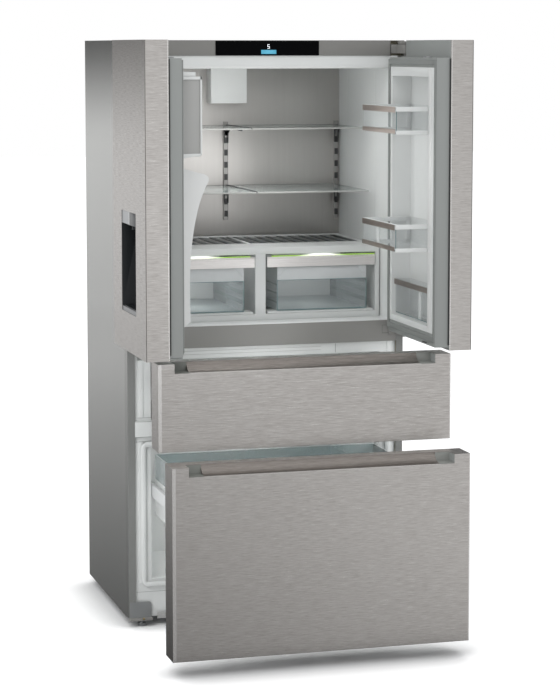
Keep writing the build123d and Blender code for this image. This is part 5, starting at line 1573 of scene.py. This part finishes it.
@dataclass
class FridgeSpace:
    """Liner, rear panel, shelves and the crispers' frame."""

    half: float = 401.0
    floor: float = 948.0
    ceiling: float = 1747.0
    depth: float = 525.0
    ladder_places: tuple[float, ...] = (-387.0, 0.0, 387.0)
    ladder_span: tuple[float, float] = (1236.0, 1566.0)
    shelf_tops: tuple[float, float] = (1555.0, 1354.0)
    shelf_fronts: tuple[float, float] = (190.0, 125.0)
    wall_ribs: tuple[float, ...] = (140.0, 432.0)
    cover_depth: tuple[float, float] = (224.5, 486.5)
    slat_pitch: float = 38.0
    slat_width: float = 15.0
    line_height: tuple[float, float] = (1150.8, 1153.0)
    line_span: tuple[float, float] = (21.0, 380.0)
    deck_top: float = 1180.0
    slot_pitch: float = 41.0
    slot_half: float = 10.0
    arm_drop: float = 5.0
    arm_spread: float = 6.0
    arm_reach: float = 185.0
    hook_foot: float = 55.0

    def walls(self, shop: Workshop) -> None:
        """Dress the liner with rounded inner corners, the steel rear panel and the white box.

        Args:
            shop: The workshop.
        """
        liner = Shape.of_node(shop, "fridge_liner")
        far = behind(self.depth)
        inner = []
        for x in (-self.half, self.half):
            for z in (self.floor, self.ceiling):
                inner += liner.edges_between((x, behind(0), z), (x, far, z), 200.0)
        liner.round_edges(5.0, 4, edges=inner)
        liner.finish(shop, "cabinet", "white_plastic", [WHITE], ("fridge_liner",), soft=True)
        shop.dress("fridge_rear_panel", [REAR_STEEL], edge=0.4)
        ribs = Shape("liner_wall_ribs")
        for side in Side:
            wall = side.value * self.half
            for depth in self.wall_ribs:
                y = behind(depth)
                ribs.prism(
                    [(wall, y - 7), (wall - side.value * 1.5, y), (wall, y + 7)],
                    Axis.Z, 1190.0, self.ceiling - 12, edge=0.4,
                )
        ribs.finish(shop, "cabinet", "white_plastic", [WHITE])
        lip = Shape("ceiling_lip_bead")
        lip.block(
            (-self.half, FRONT - 1.5, self.ceiling + 1.0),
            (self.half, FRONT + 0.5, self.ceiling + 9.0), edge=1.4, segments=3,
        )
        lip.finish(shop, "cabinet", "white_plastic", [WHITE_DEEP])
        shop.dress("filter_box", [FILTER_WHITE], edge=1.2)
        seam = Shape("filter_box_seam")
        box_low, box_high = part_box("filter_box")
        seam.block(
            (box_low.x / MM + 0.6, box_low.y / MM + 9.0, box_low.z / MM + 3.0),
            (box_low.x / MM - 0.25, box_low.y / MM + 9.8, box_high.z / MM),
        )
        seam.block(
            (box_high.x / MM - 0.6, box_low.y / MM + 9.0, box_low.z / MM + 3.0),
            (box_high.x / MM + 0.25, box_low.y / MM + 9.8, box_high.z / MM),
        )
        seam.finish(shop, "cabinet", "white_plastic", [GREY])

    def shelves(self, shop: Workshop) -> None:
        """Dress the ladders, arms, glass panes and their trims.

        Args:
            shop: The workshop.
        """
        self.ladders(shop)
        shop.dress("upper_shelf_glass", [GLASS], edge=0.6)
        shop.dress("lower_shelf_glass", [GLASS], edge=0.6)
        trims = Shape.of_node(shop, "shelf_trims")
        rear = behind(self.depth - 40.0)
        for vert in trims.mesh.verts:
            middle = self.shelf_tops[0] if vert.co.z > 1450.0 else self.shelf_tops[1]
            share = 0.3 if vert.co.y > rear else 0.5
            vert.co.z = middle - 2.0 + (vert.co.z - middle + 2.0) * share
        # The rear trims take a darker copy of the trim finish: painted shade.
        trims.paint(1, lambda centre, normal: centre.y > rear)
        trims.round_edges(0.8, 2, 3.0)
        names = ("shelf_trims",)
        trims.finish(shop, "cabinet", "grey_plastic", [TRIM, TRIM_REAR_SHADE], names)
        split = Shape("shelf_split_lines")
        for top, front in zip(self.shelf_tops, self.shelf_fronts):
            split.block((-1.4, behind(front), top - 1.0), (1.4, behind(505.0), top + 2.2))
        split.finish(shop, "cabinet", "grey_plastic", [DARK_HOOK_AND_LADDER_SHADE])

    def ladders(self, shop: Workshop) -> None:
        """Keep the ladders' slotted columns, put painted shade in their slots and beside each
        column, and hang the hooks.

        Args:
            shop: The workshop.
        """
        column = behind(self.depth - 1.2 - 9.0)
        posts = Shape.of_node(shop, "shelf_ladders")
        arms = [
            face for face in posts.mesh.faces
            if face.calc_center_median().y < column - 0.05
            or any(min(abs(v.co.x - x) for x in self.ladder_places) > 7.3 for v in face.verts)
        ]
        bmesh.ops.delete(posts.mesh, geom=arms, context="FACES")
        posts.finish(shop, "cabinet", "steel_hardware", [LADDER], ("shelf_ladders",))
        # Painted shade: dark plates behind the slots and a dark strip beside each column.
        ladder_shade = Shape("ladder_slot_backs")
        low, high = self.ladder_span
        rows = int((high - low - self.slot_pitch) // self.slot_pitch) + 1
        middle = (low + high) / 2
        for place in self.ladder_places:
            for row in range(rows):
                z = middle + (row - (rows - 1) / 2) * self.slot_pitch
                first = (place - 5.8, column - 0.4, z - self.slot_half)
                ladder_shade.block(first, (place + 5.8, column + 2.0, z + self.slot_half))
        for place in self.ladder_places:
            ladder_shade.block((place + 6.2, column - 0.5, low + 2), (place + 7.1, column + 1.0, high - 2))
        ladder_shade.finish(shop, "cabinet", "steel_hardware", [DARK_HOOK_AND_LADDER_SHADE])
        self.hooks(shop, column)

    def hooks(self, shop: Workshop, column: float) -> None:
        """Hang two dark hooks with slim light arms on each ladder, under both shelves.

        Args:
            shop: The workshop.
            column: Y of the ladders' front.
        """
        hooks = Shape("shelf_hooks")
        for top, front in zip(self.shelf_tops, self.shelf_fronts):
            under = top - self.arm_drop
            foot = under - self.hook_foot
            tip = max(behind(front + 90.0), column - self.arm_reach)
            plain = [
                (column, under - 2.0), (column - 7.0, under - 2.0), (column - 7.0, foot),
                (column, foot),
            ]
            bent = [
                (column - 20.0, under - 2.0), (column - 38.0, under - 2.0),
                (column - 8.0, under - 24.0), (column - 7.0, foot),
                (column, foot), (column, under - 18.0),
            ]
            for place in self.ladder_places:
                inward = 0.0 if place == 0.0 else -math.copysign(1.0, place) * 1.5
                for spread, outline in ((-self.arm_spread, plain), (self.arm_spread, bent)):
                    x = place + inward + spread
                    hooks.prism(outline, Axis.X, x - 1.4, x + 1.4, edge=0.3)
                    first = (x - 1.0, tip, under - 4.0)
                    hooks.block(first, (x + 1.0, column, under), edge=0.3, index=1)
                if place == 0.0:
                    wedge = [
                        (column - 72.0, under - 1.0), (tip, under - 1.0),
                        (tip, under - 9.0), (tip + 40.0, under - 9.0),
                    ]
                    hooks.prism(wedge, Axis.X, 3.5, 8.5, edge=0.5)
        hooks.finish(shop, "cabinet", "steel_hardware", [DARK_HOOK_AND_LADDER_SHADE, LADDER])

    def crisper_deck(self, shop: Workshop) -> None:
        """Dress the crispers' frame and its glass cover with slats and bright rims.

        Args:
            shop: The workshop.
        """
        shop.dress("crisper_frame", [FRAME_WHITE], edge=1.2, least=8.0)
        shop.dress("crisper_cover_glass", [DECK_GLASS], edge=0.5)
        slats = Shape("crisper_deck_slats")
        top = self.deck_top
        near, far = (behind(value) for value in self.cover_depth)
        for side in Side:
            start = 14.0
            while start + self.slat_width < 372.0:
                a, b = mirrored(side, start, start + self.slat_width)
                slats.block((a, near + 6.0, top + 0.1), (b, far - 6.0, top + 1.4), edge=0.4)
                start += self.slat_pitch
        slats.block((-4.0, near, top - 1.0), (4.0, far, top + 3.0), edge=0.8, index=1)
        slats.block((-390.0, far, top - 1.0), (390.0, far + 7.0, top + 5.0), edge=1.0, index=1)
        slats.block((-390.0, near - 6.0, top - 1.0), (390.0, near, top + 1.2), edge=0.5, index=1)
        slats.finish(shop, "cabinet", "white_plastic", [DECK, WHITE_DEEP])

    def glow_lines(self, shop: Workshop) -> None:
        """Light lines over the crispers: green at the ends, white in the middle.

        Args:
            shop: The workshop.
        """
        for side in Side:
            label = side.name.lower()
            near, far = (side.value * value for value in self.line_span)
            low, high = self.line_height
            middle = (near + far) / 2
            line = Shape(f"crisper_light_line_{label}")
            line.block((near, behind(75.0), low), (far, behind(84.0), high), edge=0.5)
            glow = Glow(f"crisper_line_light_{label}", (126, 170, 44), middle=(232, 240, 216),
                        centre=middle, reach=92.0, core=0.3, strength=0.95)
            line.finish(shop, "cabinet", "white_plastic", [glow])
            lens = Shape(f"crisper_light_lens_{label}")
            first = (middle - 66.0, behind(80.5), high)
            lens.block(first, (middle + 66.0, behind(90.0), 1156.8), edge=0.8)
            haze = Glow(f"crisper_lens_light_{label}", (118, 120, 118), middle=(240, 241, 240),
                        centre=middle, reach=64.0, core=0.1, strength=0.65)
            lens.finish(shop, "cabinet", "white_plastic", [haze])
            clip = Shape(f"crisper_line_clip_{label}")
            a, b = mirrored(side, self.line_span[0] - 3.0, self.line_span[0] + 14.0)
            clip.block((a, behind(74.0), low - 0.6), (b, behind(82.0), high + 1.6), edge=0.6)
            clip.finish(shop, "cabinet", "white_plastic", [COVER_GREY])

    def build(self, shop: Workshop) -> None:
        """Build the fridge space.

        Args:
            shop: The workshop.
        """
        self.walls(shop)
        self.shelves(shop)
        self.crisper_deck(shop)
        self.glow_lines(shop)


@dataclass
class Crisper:
    """One clear crisper with its metal strip, frosted band, cut edges and steps."""

    side: Side
    inner_edge: float = 21.0
    outer_edge: float = 380.0
    box_inner: float = 54.0
    box_outer: float = 354.0
    front: float = 80.0
    back: float = 470.0
    bottom: float = 974.0
    top: float = 1150.0
    strip: tuple[float, float] = (1117.0, 1144.0)
    band_bottom: float = 1074.0

    def build(self, shop: Workshop) -> None:
        """Dress the box and fit what shows on it and inside it.

        Args:
            shop: The workshop.
        """
        name = f"{self.side.name.lower()}_crisper"
        face = behind(self.front)
        low, high = self.strip

        def on_strip(centre: Vector, normal: Vector) -> bool:
            """Whether a face belongs to the strip across the front."""
            return low - 1 < centre.z < high + 1 and centre.y < face - 0.5

        shop.dress(name, [CLEAR, STRIP_METAL], edge=0.9, least=8.0, paint=[(1, on_strip)])
        cap = Shape(f"{name}_strip_cap")
        x0, x1 = mirrored(self.side, self.inner_edge, self.outer_edge)
        cap.block((x0, behind(74.2), high - 0.5), (x1, face + 0.5, self.top - 0.2), edge=0.5)
        cap.finish(shop, name, "clear_plastic", [STRIP_METAL])
        self.band(shop, name)
        self.inside(shop, name)

    def band(self, shop: Workshop, name: str) -> None:
        """Frosted band under the strip with folded corners, and the teal cut edges.

        Args:
            shop: The workshop.
            name: The crisper's body.
        """
        face = behind(self.front)
        x0, x1 = mirrored(self.side, self.box_inner, self.box_outer)
        low, high = self.band_bottom, self.strip[0]
        band = Shape(f"{name}_frosted_band")
        band.block((x0 + 1.5, face - 0.5, low), (x1 - 1.5, face + 0.3, high), edge=0.2)
        fold = high - 28.0
        for x, turn in ((x0 + 1.5, 1.0), (x1 - 1.5, -1.0)):
            outline = [(x, high), (x + turn * 30.0, high), (x + turn * 8.0, fold), (x, fold)]
            band.prism(outline, Axis.Y, face - 2.2, face - 0.4, edge=0.8)
        band.finish(shop, name, "clear_plastic", [FROST])
        lines = Shape(f"{name}_cut_edges")
        foot = self.bottom + 3.0
        for x in (x0 + 1.1, x1 - 1.1):
            lines.block((x - 0.9, face - 0.5, foot), (x + 0.9, face + 0.3, low))
        lines.block((x0 + 2, face - 0.5, foot), (x1 - 2, face + 0.3, foot + 2.2))
        lines.block((x0 + 2, face - 0.6, low - 0.7), (x1 - 2, face + 0.3, low + 0.7))
        lines.finish(shop, name, "clear_plastic", [EDGE])

    def inside(self, shop: Workshop, name: str) -> None:
        """White rear wall, pale floor pad and smoky steps along the walls.

        Args:
            shop: The workshop.
            name: The crisper's body.
        """
        x0, x1 = mirrored(self.side, self.box_inner, self.box_outer)
        y0, y1 = behind(self.front + 8), behind(self.back - 4)
        fit = Shape(f"{name}_fittings")
        fit.block((x0 + 4, y1 - 3, self.bottom + 4), (x1 - 4, y1, self.top - 6), edge=1.0)
        first = (x0 + 5, y0, self.bottom + 2.6)
        fit.block(first, (x1 - 5, y1 - 4, self.bottom + 4.0), edge=0.4, index=1)
        a, b = mirrored(self.side, self.inner_edge + 3, self.outer_edge - 3)
        fit.block((a, behind(self.front + 1), 968.8), (b, y0 + 60, self.bottom + 0.5), edge=0.6)
        fit.finish(shop, name, "clear_plastic", [WHITE, PAD])
        steps = Shape(f"{name}_wall_steps")
        for z in (1000.0, 1030.0, 1058.0):
            steps.block((x1 - 5.0, y0 + 6, z), (x1 - 2.8, y1 - 6, z + 13.0), edge=0.8)
            steps.block((x0 + 2.8, y0 + 6, z), (x0 + 4.4, y1 - 6, z + 3.0), edge=0.5)
        steps.finish(shop, name, "clear_plastic", [STEP])


@dataclass
class FrenchDoor:
    """One of the two doors: steel wrap, grey frame, liner and seal."""

    side: Side
    width: float = 451.0
    bottom: float = 908.0
    top: float = 1835.0
    frame_height: tuple[float, float] = (917.0, 1782.0)
    catch_along: tuple[float, float] = (316.0, 380.0)

    @property
    def name(self) -> str:
        """Name of the door's body."""
        return f"{self.side.name.lower()}_door"

    def shell(self, shop: Workshop) -> None:
        """Dress the steel wrap with folded edges, and the foamed frame.

        Args:
            shop: The workshop.
        """
        skin = Shape.of_node(shop, f"{self.name}_skin")
        folds = []
        for along in (0.0, self.width):
            x, y, _ = door_point(self.side, along, 0.0, 0.0)
            folds += skin.edges_between((x, y, self.bottom), (x, y, self.top), 400.0)
        skin.round_edges(1.6, 3, edges=folds)
        skin.finish(
            shop, self.name, "steel_front", [STEEL], (f"{self.name}_skin",), soft=True
        )
        shop.dress(f"{self.name}_frame", [GREY], edge=0.9, least=12.0)

    def inside(self, shop: Workshop) -> None:
        """Dress the white liner and the seal, and add a rim on the right door's liner.

        Args:
            shop: The workshop.
        """
        shop.dress(f"{self.name}_liner", [WHITE], edge=0.9, least=6.0)
        edge = OPEN_FACE - 78.0
        shop.dress(
            f"{self.name}_seal", [RUBBER, BLACK_RUBBER], edge=1.0, least=8.0,
            paint=[(1, lambda centre, normal: abs(centre.x) > edge)],
        )
        if self.side is Side.RIGHT:
            rim = Shape("right_liner_rim")
            rim.door_block(self.side, (376.5, 402.0), (113.4, 114.6), (957.0, 1752.0), 0.4)
            rim.finish(shop, self.name, "white_plastic", [WHITE_DEEP])
        # Painted shade and highlight on the free edge: a dark crease line at the outer corner and a
        # bright line further in.
        lines = Shape(f"{self.name}_fold_lines")
        free = FRONT - OPEN_EDGE - self.width
        for start, stop, index in ((0.0, 2.0, 0), (66.5, 69.6, 1)):
            first = (self.side.value * (OPEN_FACE - start), free - 0.3, self.bottom + 1.0)
            second = (self.side.value * (OPEN_FACE - stop), free + 0.4, self.top - 1.0)
            lines.block(first, second, index=index)
        lines.finish(shop, self.name, "steel_front", [CREASE_SHADE, FOLD_HIGHLIGHT])

    def catches(self, shop: Workshop) -> None:
        """Closing catches on the frame's top and foot.

        Args:
            shop: The workshop.
        """
        catch = Shape(f"{self.name}_catches")
        side, (a, b), (foot, top) = self.side, self.catch_along, self.frame_height
        catch.door_block(side, (a, a + 32.0), (94.0, 111.0), (top - 2.0, top + 4.2), 1.8, 2)
        catch.door_block(side, (a + 2.0, b), (110.0, 113.0), (foot + 2.0, foot + 11.5), 0.9)
        # The catch's groove at the foot is a dark bar: painted shade.
        groove = (foot + 4.0, foot + 8.5)
        catch.door_block(side, (a + 16.0, b - 8.0), (111.0, 113.8), groove, 0.8, 1)
        catch.finish(shop, self.name, "grey_plastic", [GREY, SLOT_SHADE, HARDWARE])

    def build(self, shop: Workshop) -> None:
        """Build the door.

        Args:
            shop: The workshop.
        """
        self.shell(shop)
        self.inside(shop)
        self.catches(shop)


@dataclass
class Dispenser:
    """Water dispenser in the left door, with its white cover and box inside."""

    along: tuple[float, float] = (119.0, 318.0)
    height: tuple[float, float] = (1025.0, 1328.0)
    nozzle_bottom: float = 1289.0
    lip_top: float = 1038.0
    box_side: float = 392.0
    window_bars: tuple[tuple[Point2, Point2, Point2, int], ...] = (
        ((53.0, 177.0), (1506.0, 1720.0), (-0.5, 0.8), 1),
        ((53.0, 182.0), (1720.0, 1729.0), (-0.5, 4.0), 0),
        ((177.0, 182.0), (1503.0, 1729.0), (-0.5, 4.0), 0),
        ((53.0, 164.0), (1730.0, 1742.0), (-20.0, 1.0), 0),
    )

    def build(self, shop: Workshop) -> None:
        """Dress the recess, the paddle, the grille and the covers inside.

        Args:
            shop: The workshop.
        """
        top, foot = self.nozzle_bottom - 0.5, self.lip_top + 0.5

        def on_nozzle(centre: Vector, normal: Vector) -> bool:
            """Whether a face lies on the nozzle block."""
            return centre.z > top

        def on_lip(centre: Vector, normal: Vector) -> bool:
            """Whether a face lies on the tray's lip."""
            return centre.z < foot and centre.x < -OPEN_FACE + 70

        shop.dress(
            "dispenser_housing", [DARK, NOZZLE, LIP_SILVER], edge=0.5, least=6.0,
            paint=[(1, on_nozzle), (2, on_lip)],
        )
        shop.dress("dispenser_paddle", [DARK], edge=0.6)
        shop.keep(DARK, "drip_grille")
        shop.dress("dispenser_cover", [WHITE_DEEP], edge=2.2, least=20.0, soft=True)
        shop.dress("left_door_box", [WHITE], edge=1.4, least=8.0)
        self.fittings(shop)
        self.box_window(shop)

    def fittings(self, shop: Workshop) -> None:
        """Put a dark plate with a pale strip on the nozzle block.

        Args:
            shop: The workshop.
        """
        plate = Shape("nozzle_side_plate")
        middle = sum(self.along) / 2 + 14.0
        height = (self.nozzle_bottom + 0.5, self.height[1] - 1.0)
        plate.door_block(Side.LEFT, (middle, self.along[1] - 1.0), (-0.3, 0.6), height, 0.2)
        plate.door_block(Side.LEFT, (middle - 8.0, middle), (-0.4, 0.6), height, 0.2, 1)
        plate.finish(shop, "left_door", "dark_plastic", [PLATE_SHADE, WHITE_DEEP])

    def box_window(self, shop: Workshop) -> None:
        """Grey window with a white border on the box's free side, and its raised cap.

        Args:
            shop: The workshop.
        """
        window = Shape("left_box_window")
        for inward, height, proud, index in self.window_bars:
            along = (self.box_side + proud[0], self.box_side + proud[1])
            window.door_block(Side.LEFT, along, inward, height, 0.5, index)
        x0, x1 = -OPEN_FACE + 53.0, -OPEN_FACE + 182.0
        y0 = FRONT - OPEN_EDGE - self.box_side
        outline = [(x0, 1506.0), (x1, 1506.0), (x1, 1501.0), (x0, 1482.0)]
        window.prism(outline, Axis.Y, y0 - 4.0, y0 + 3.0, edge=1.0)
        window.finish(shop, "left_door", "white_plastic", [WHITE, BOX_GREY])


@dataclass
class DoorBin:
    """One bin of the right door: clear tray, metal bars and white side frames."""

    name: str
    along: tuple[float, float]
    front: float
    height: tuple[float, float]
    side_frames: bool
    back: float = 57.0
    divider: float | None = None

    def build(self, shop: Workshop) -> None:
        """Dress the tray and add its frames and divider.

        Args:
            shop: The workshop.
        """
        limit = OPEN_FACE - self.front - 0.5

        def on_bar(centre: Vector, normal: Vector) -> bool:
            """Whether a face belongs to a bar on the front."""
            return centre.x < limit

        shop.dress(self.name, [BIN_CLEAR, BAR_METAL], edge=0.8, least=8.0, paint=[(1, on_bar)])
        extra = Shape(f"{self.name}_frames")
        side, front, back = Side.RIGHT, self.front, self.back
        a0, a1 = self.along
        z0, z1 = self.height
        if self.side_frames:
            for edge, out in ((a0, -1), (a1, 1)):
                bar = (edge + out * 0.2, edge + out * 3.6)
                for height in ((z1 - 14.0, z1 + 0.5), (z0 - 0.5, z0 + 12.0)):
                    extra.door_block(side, bar, (front + 1.0, back), height, 1.2)
                post = (edge + out * 0.2, edge + out * 3.4)
                extra.door_block(side, post, (back + 15.0, back), (z0 - 0.5, z1 + 0.5), 1.0)
            rail = (front - 1.0, front - 8.0)
            extra.door_block(side, (a0, a1), rail, (z1 - 3.0, z1 + 0.6), 1.0)
        if self.divider is not None:
            along = (self.divider, self.divider + 22)
            extra.door_block(side, along, (front - 4.0, front - 8.0), (z0 + 4, z1 - 12), 1.5)
        extra.finish(shop, "right_door", "clear_plastic", [WHITE])
        lines = Shape(f"{self.name}_cut_edges")
        upright = (z0 + 8.0, z1 - 12.0)
        lines.door_block(side, (a1 - 1.0, a1 + 0.5), (front - 0.6, front - 2.2), upright)
        level = (z0 + 3.0, z0 + 4.6)
        lines.door_block(side, (a0 + 1.0, a1 - 1.0), (front - 3.0, front - 4.4), level)
        lines.finish(shop, "right_door", "clear_plastic", [EDGE])


@dataclass
class DrawerFront:
    """Steel front of one drawer with its grip."""

    name: str
    height: tuple[float, float]
    pull: float
    half: float = 453.0
    bar_half: float = 358.0
    grip_height: float = 28.0

    def build(self, shop: Workshop) -> None:
        """Dress the steel wrap, the panel, the seal and the grip.

        Args:
            shop: The workshop.
        """
        body = f"{self.name}_drawer"
        face = behind(-118.0 - self.pull)
        skin = Shape.of_node(shop, f"{self.name}_front_skin")
        folds = []
        for x in (-self.half, self.half):
            folds += skin.edges_between((x, face, self.height[0]), (x, face, self.height[1]), 60.0)
        folds += skin.edges_between(
            (-self.half, face, self.height[0]), (self.half, face, self.height[0]), 400.0
        )
        skin.round_edges(1.0, 2, edges=folds)
        node = f"{self.name}_front_skin"
        skin.finish(shop, body, "steel_front", [STEEL], (node,), soft=True)
        shop.dress(f"{self.name}_front_panel", [GREY, WHITE], edge=0.9, least=12.0, paint=[
            (1, lambda centre, normal: centre.y > face + 92.0)
        ])
        shop.dress(f"{self.name}_seal", [RUBBER], edge=1.5, least=12.0)
        # The grip's right-hand end takes a lighter copy of the end finish: painted light.
        shop.dress(
            f"{self.name}_grip", [GRIP, GRIP_END, GRIP_END_PAINTED_LIGHT], edge=0.3, least=12.0,
            paint=[
                (1, lambda centre, normal: abs(centre.x) > self.bar_half + 0.5),
                (2, lambda centre, normal: centre.x > self.bar_half + 0.5),
            ],
        )
        self.lines(shop, body, face)

    def lines(self, shop: Workshop, body: str, face: float) -> None:
        """Painted highlights: bright bands on the folds at both ends and along the grip bar's foot.

        Args:
            shop: The workshop.
            body: The drawer's body.
            face: Y of its front.
        """
        low, high = self.height
        fold = Shape(f"{self.name}_fold_bands")
        for x0, x1 in ((-self.half - 0.3, -self.half + 10.0), (self.half - 3.0, self.half + 0.3)):
            fold.block((x0, face - 0.3, low + 1), (x1, face + 0.5, high - 1))
        foot = high - self.grip_height
        fold.block((-self.bar_half, face - 0.1, foot), (self.bar_half, face + 2.4, foot + 1.4))
        fold.finish(shop, body, "steel_front", [FOLD_HIGHLIGHT])


@dataclass
class DrawerSpaces:
    """Compartments of the two drawers, their boxes and slide rails."""

    bottom_pull: float = 493.0
    box_half: float = 360.0
    rib_count: int = 3
    rib_pitch: float = 105.0

    def compartments(self, shop: Workshop) -> None:
        """Dress the two compartments and the rails.

        Args:
            shop: The workshop.
        """
        shop.dress("middle_liner", [WHITE], edge=1.0, least=8.0)
        shop.dress("bottom_liner", [WHITE], edge=1.0, least=8.0)
        rails = ("fixed_rails", "middle_rail_stage", "bottom_rail_stage")
        for name in (*rails, "middle_drawer_rails", "bottom_drawer_rails"):
            shop.dress(name, [RAIL_WHITE], edge=0.4, least=10.0)

    def boxes(self, shop: Workshop) -> None:
        """Dress the middle box, and the freezer tub with its clear wall and ribs.

        Args:
            shop: The workshop.
        """
        shop.dress("middle_box", [WHITE], edge=1.0, least=8.0)
        shop.dress("bottom_tub", [WHITE], edge=1.0, least=8.0)
        shop.dress(
            "bottom_glass_wall", [TEAL, WHITE, SIDE_WALL], edge=0.8, least=8.0,
            paint=[
                (2, lambda centre, normal: abs(normal.x) > 0.9),
                (1, lambda centre, normal: centre.z > 535.5),
            ],
        )
        ribs = Shape("freezer_tub_ribs")
        start = behind(-12.0 - self.bottom_pull)
        for side in Side:
            x0, x1 = mirrored(side, self.box_half - 0.3, self.box_half + 1.4)
            for index in range(self.rib_count):
                y = start + 40.0 + index * self.rib_pitch
                outline = [(y, 350.0), (y + 8, 350.0), (y + 68, 440.0), (y + 60, 440.0)]
                ribs.prism(outline, Axis.X, x0, x1, edge=0.5)
            ribs.block((x0, start, 296.0), (x1, start + 372.0, 302.0), edge=0.6)
        ribs.finish(shop, "bottom_drawer", "white_plastic", [WHITE])

    def build(self, shop: Workshop) -> None:
        """Build both spaces.

        Args:
            shop: The workshop.
        """
        self.compartments(shop)
        self.boxes(shop)


@dataclass
class MachineSpace:
    """Compressor, coils, fan, rollers, hinges and feet."""

    def build(self, shop: Workshop) -> None:
        """Dress the working parts.

        Args:
            shop: The workshop.
        """
        shop.keep(BLACK_METAL, "compressor")
        shop.keep(COIL, "condenser", "evaporator")
        shop.keep(ROLLER, "condenser_fan", "rear_rollers")
        shop.dress("door_hinges", [CAST_GREY], edge=0.8, least=4.0)
        shop.dress("front_feet", [HARDWARE], edge=0.6, least=4.0)


@dataclass
class Fridge:
    """The whole appliance, put together from its sub-assemblies."""

    parts: list = field(default_factory=list)

    def __post_init__(self) -> None:
        """List the sub-assemblies in the order in which they are built."""
        self.parts = [
            CabinetBody(),
            FridgeSpace(),
            Crisper(Side.LEFT),
            Crisper(Side.RIGHT),
            FrenchDoor(Side.LEFT),
            FrenchDoor(Side.RIGHT),
            Dispenser(),
            DoorBin("right_upper_bin", (59.0, 372.0), 215.0, (1553.0, 1636.0), True),
            DoorBin(
                "right_middle_bin", (59.0, 372.0), 215.0, (1200.0, 1283.0), True, divider=180.0
            ),
            DoorBin("right_lower_bin", (42.0, 398.0), 102.0, (977.0, 1087.0), False, divider=250.0),
            DrawerFront("middle", (632.0, 892.0), 320.0),
            DrawerFront("bottom", (49.5, 616.5), 493.0),
            DrawerSpaces(),
            MachineSpace(),
        ]

    def build(self, shop: Workshop) -> None:
        """Build every sub-assembly.

        Args:
            shop: The workshop.
        """
        for part in self.parts:
            part.build(shop)
            LOG.info("built %s, %d pieces so far", type(part).__name__, shop.count)


def corners(box: tuple[Vector, Vector]) -> list[list[float]]:
    """Plain lists of a box's two corners."""
    return [list(box[0]), list(box[1])]


def main() -> None:
    """Load the frame, build the stage and the fridge."""
    logging.basicConfig(level=logging.INFO, format="%(name)s: %(message)s")
    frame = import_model()
    bpy.context.scene.view_settings.view_transform = "Standard"
    Studio().build()
    Fridge().build(Workshop(frame))


if __name__ == "__main__":
    main()
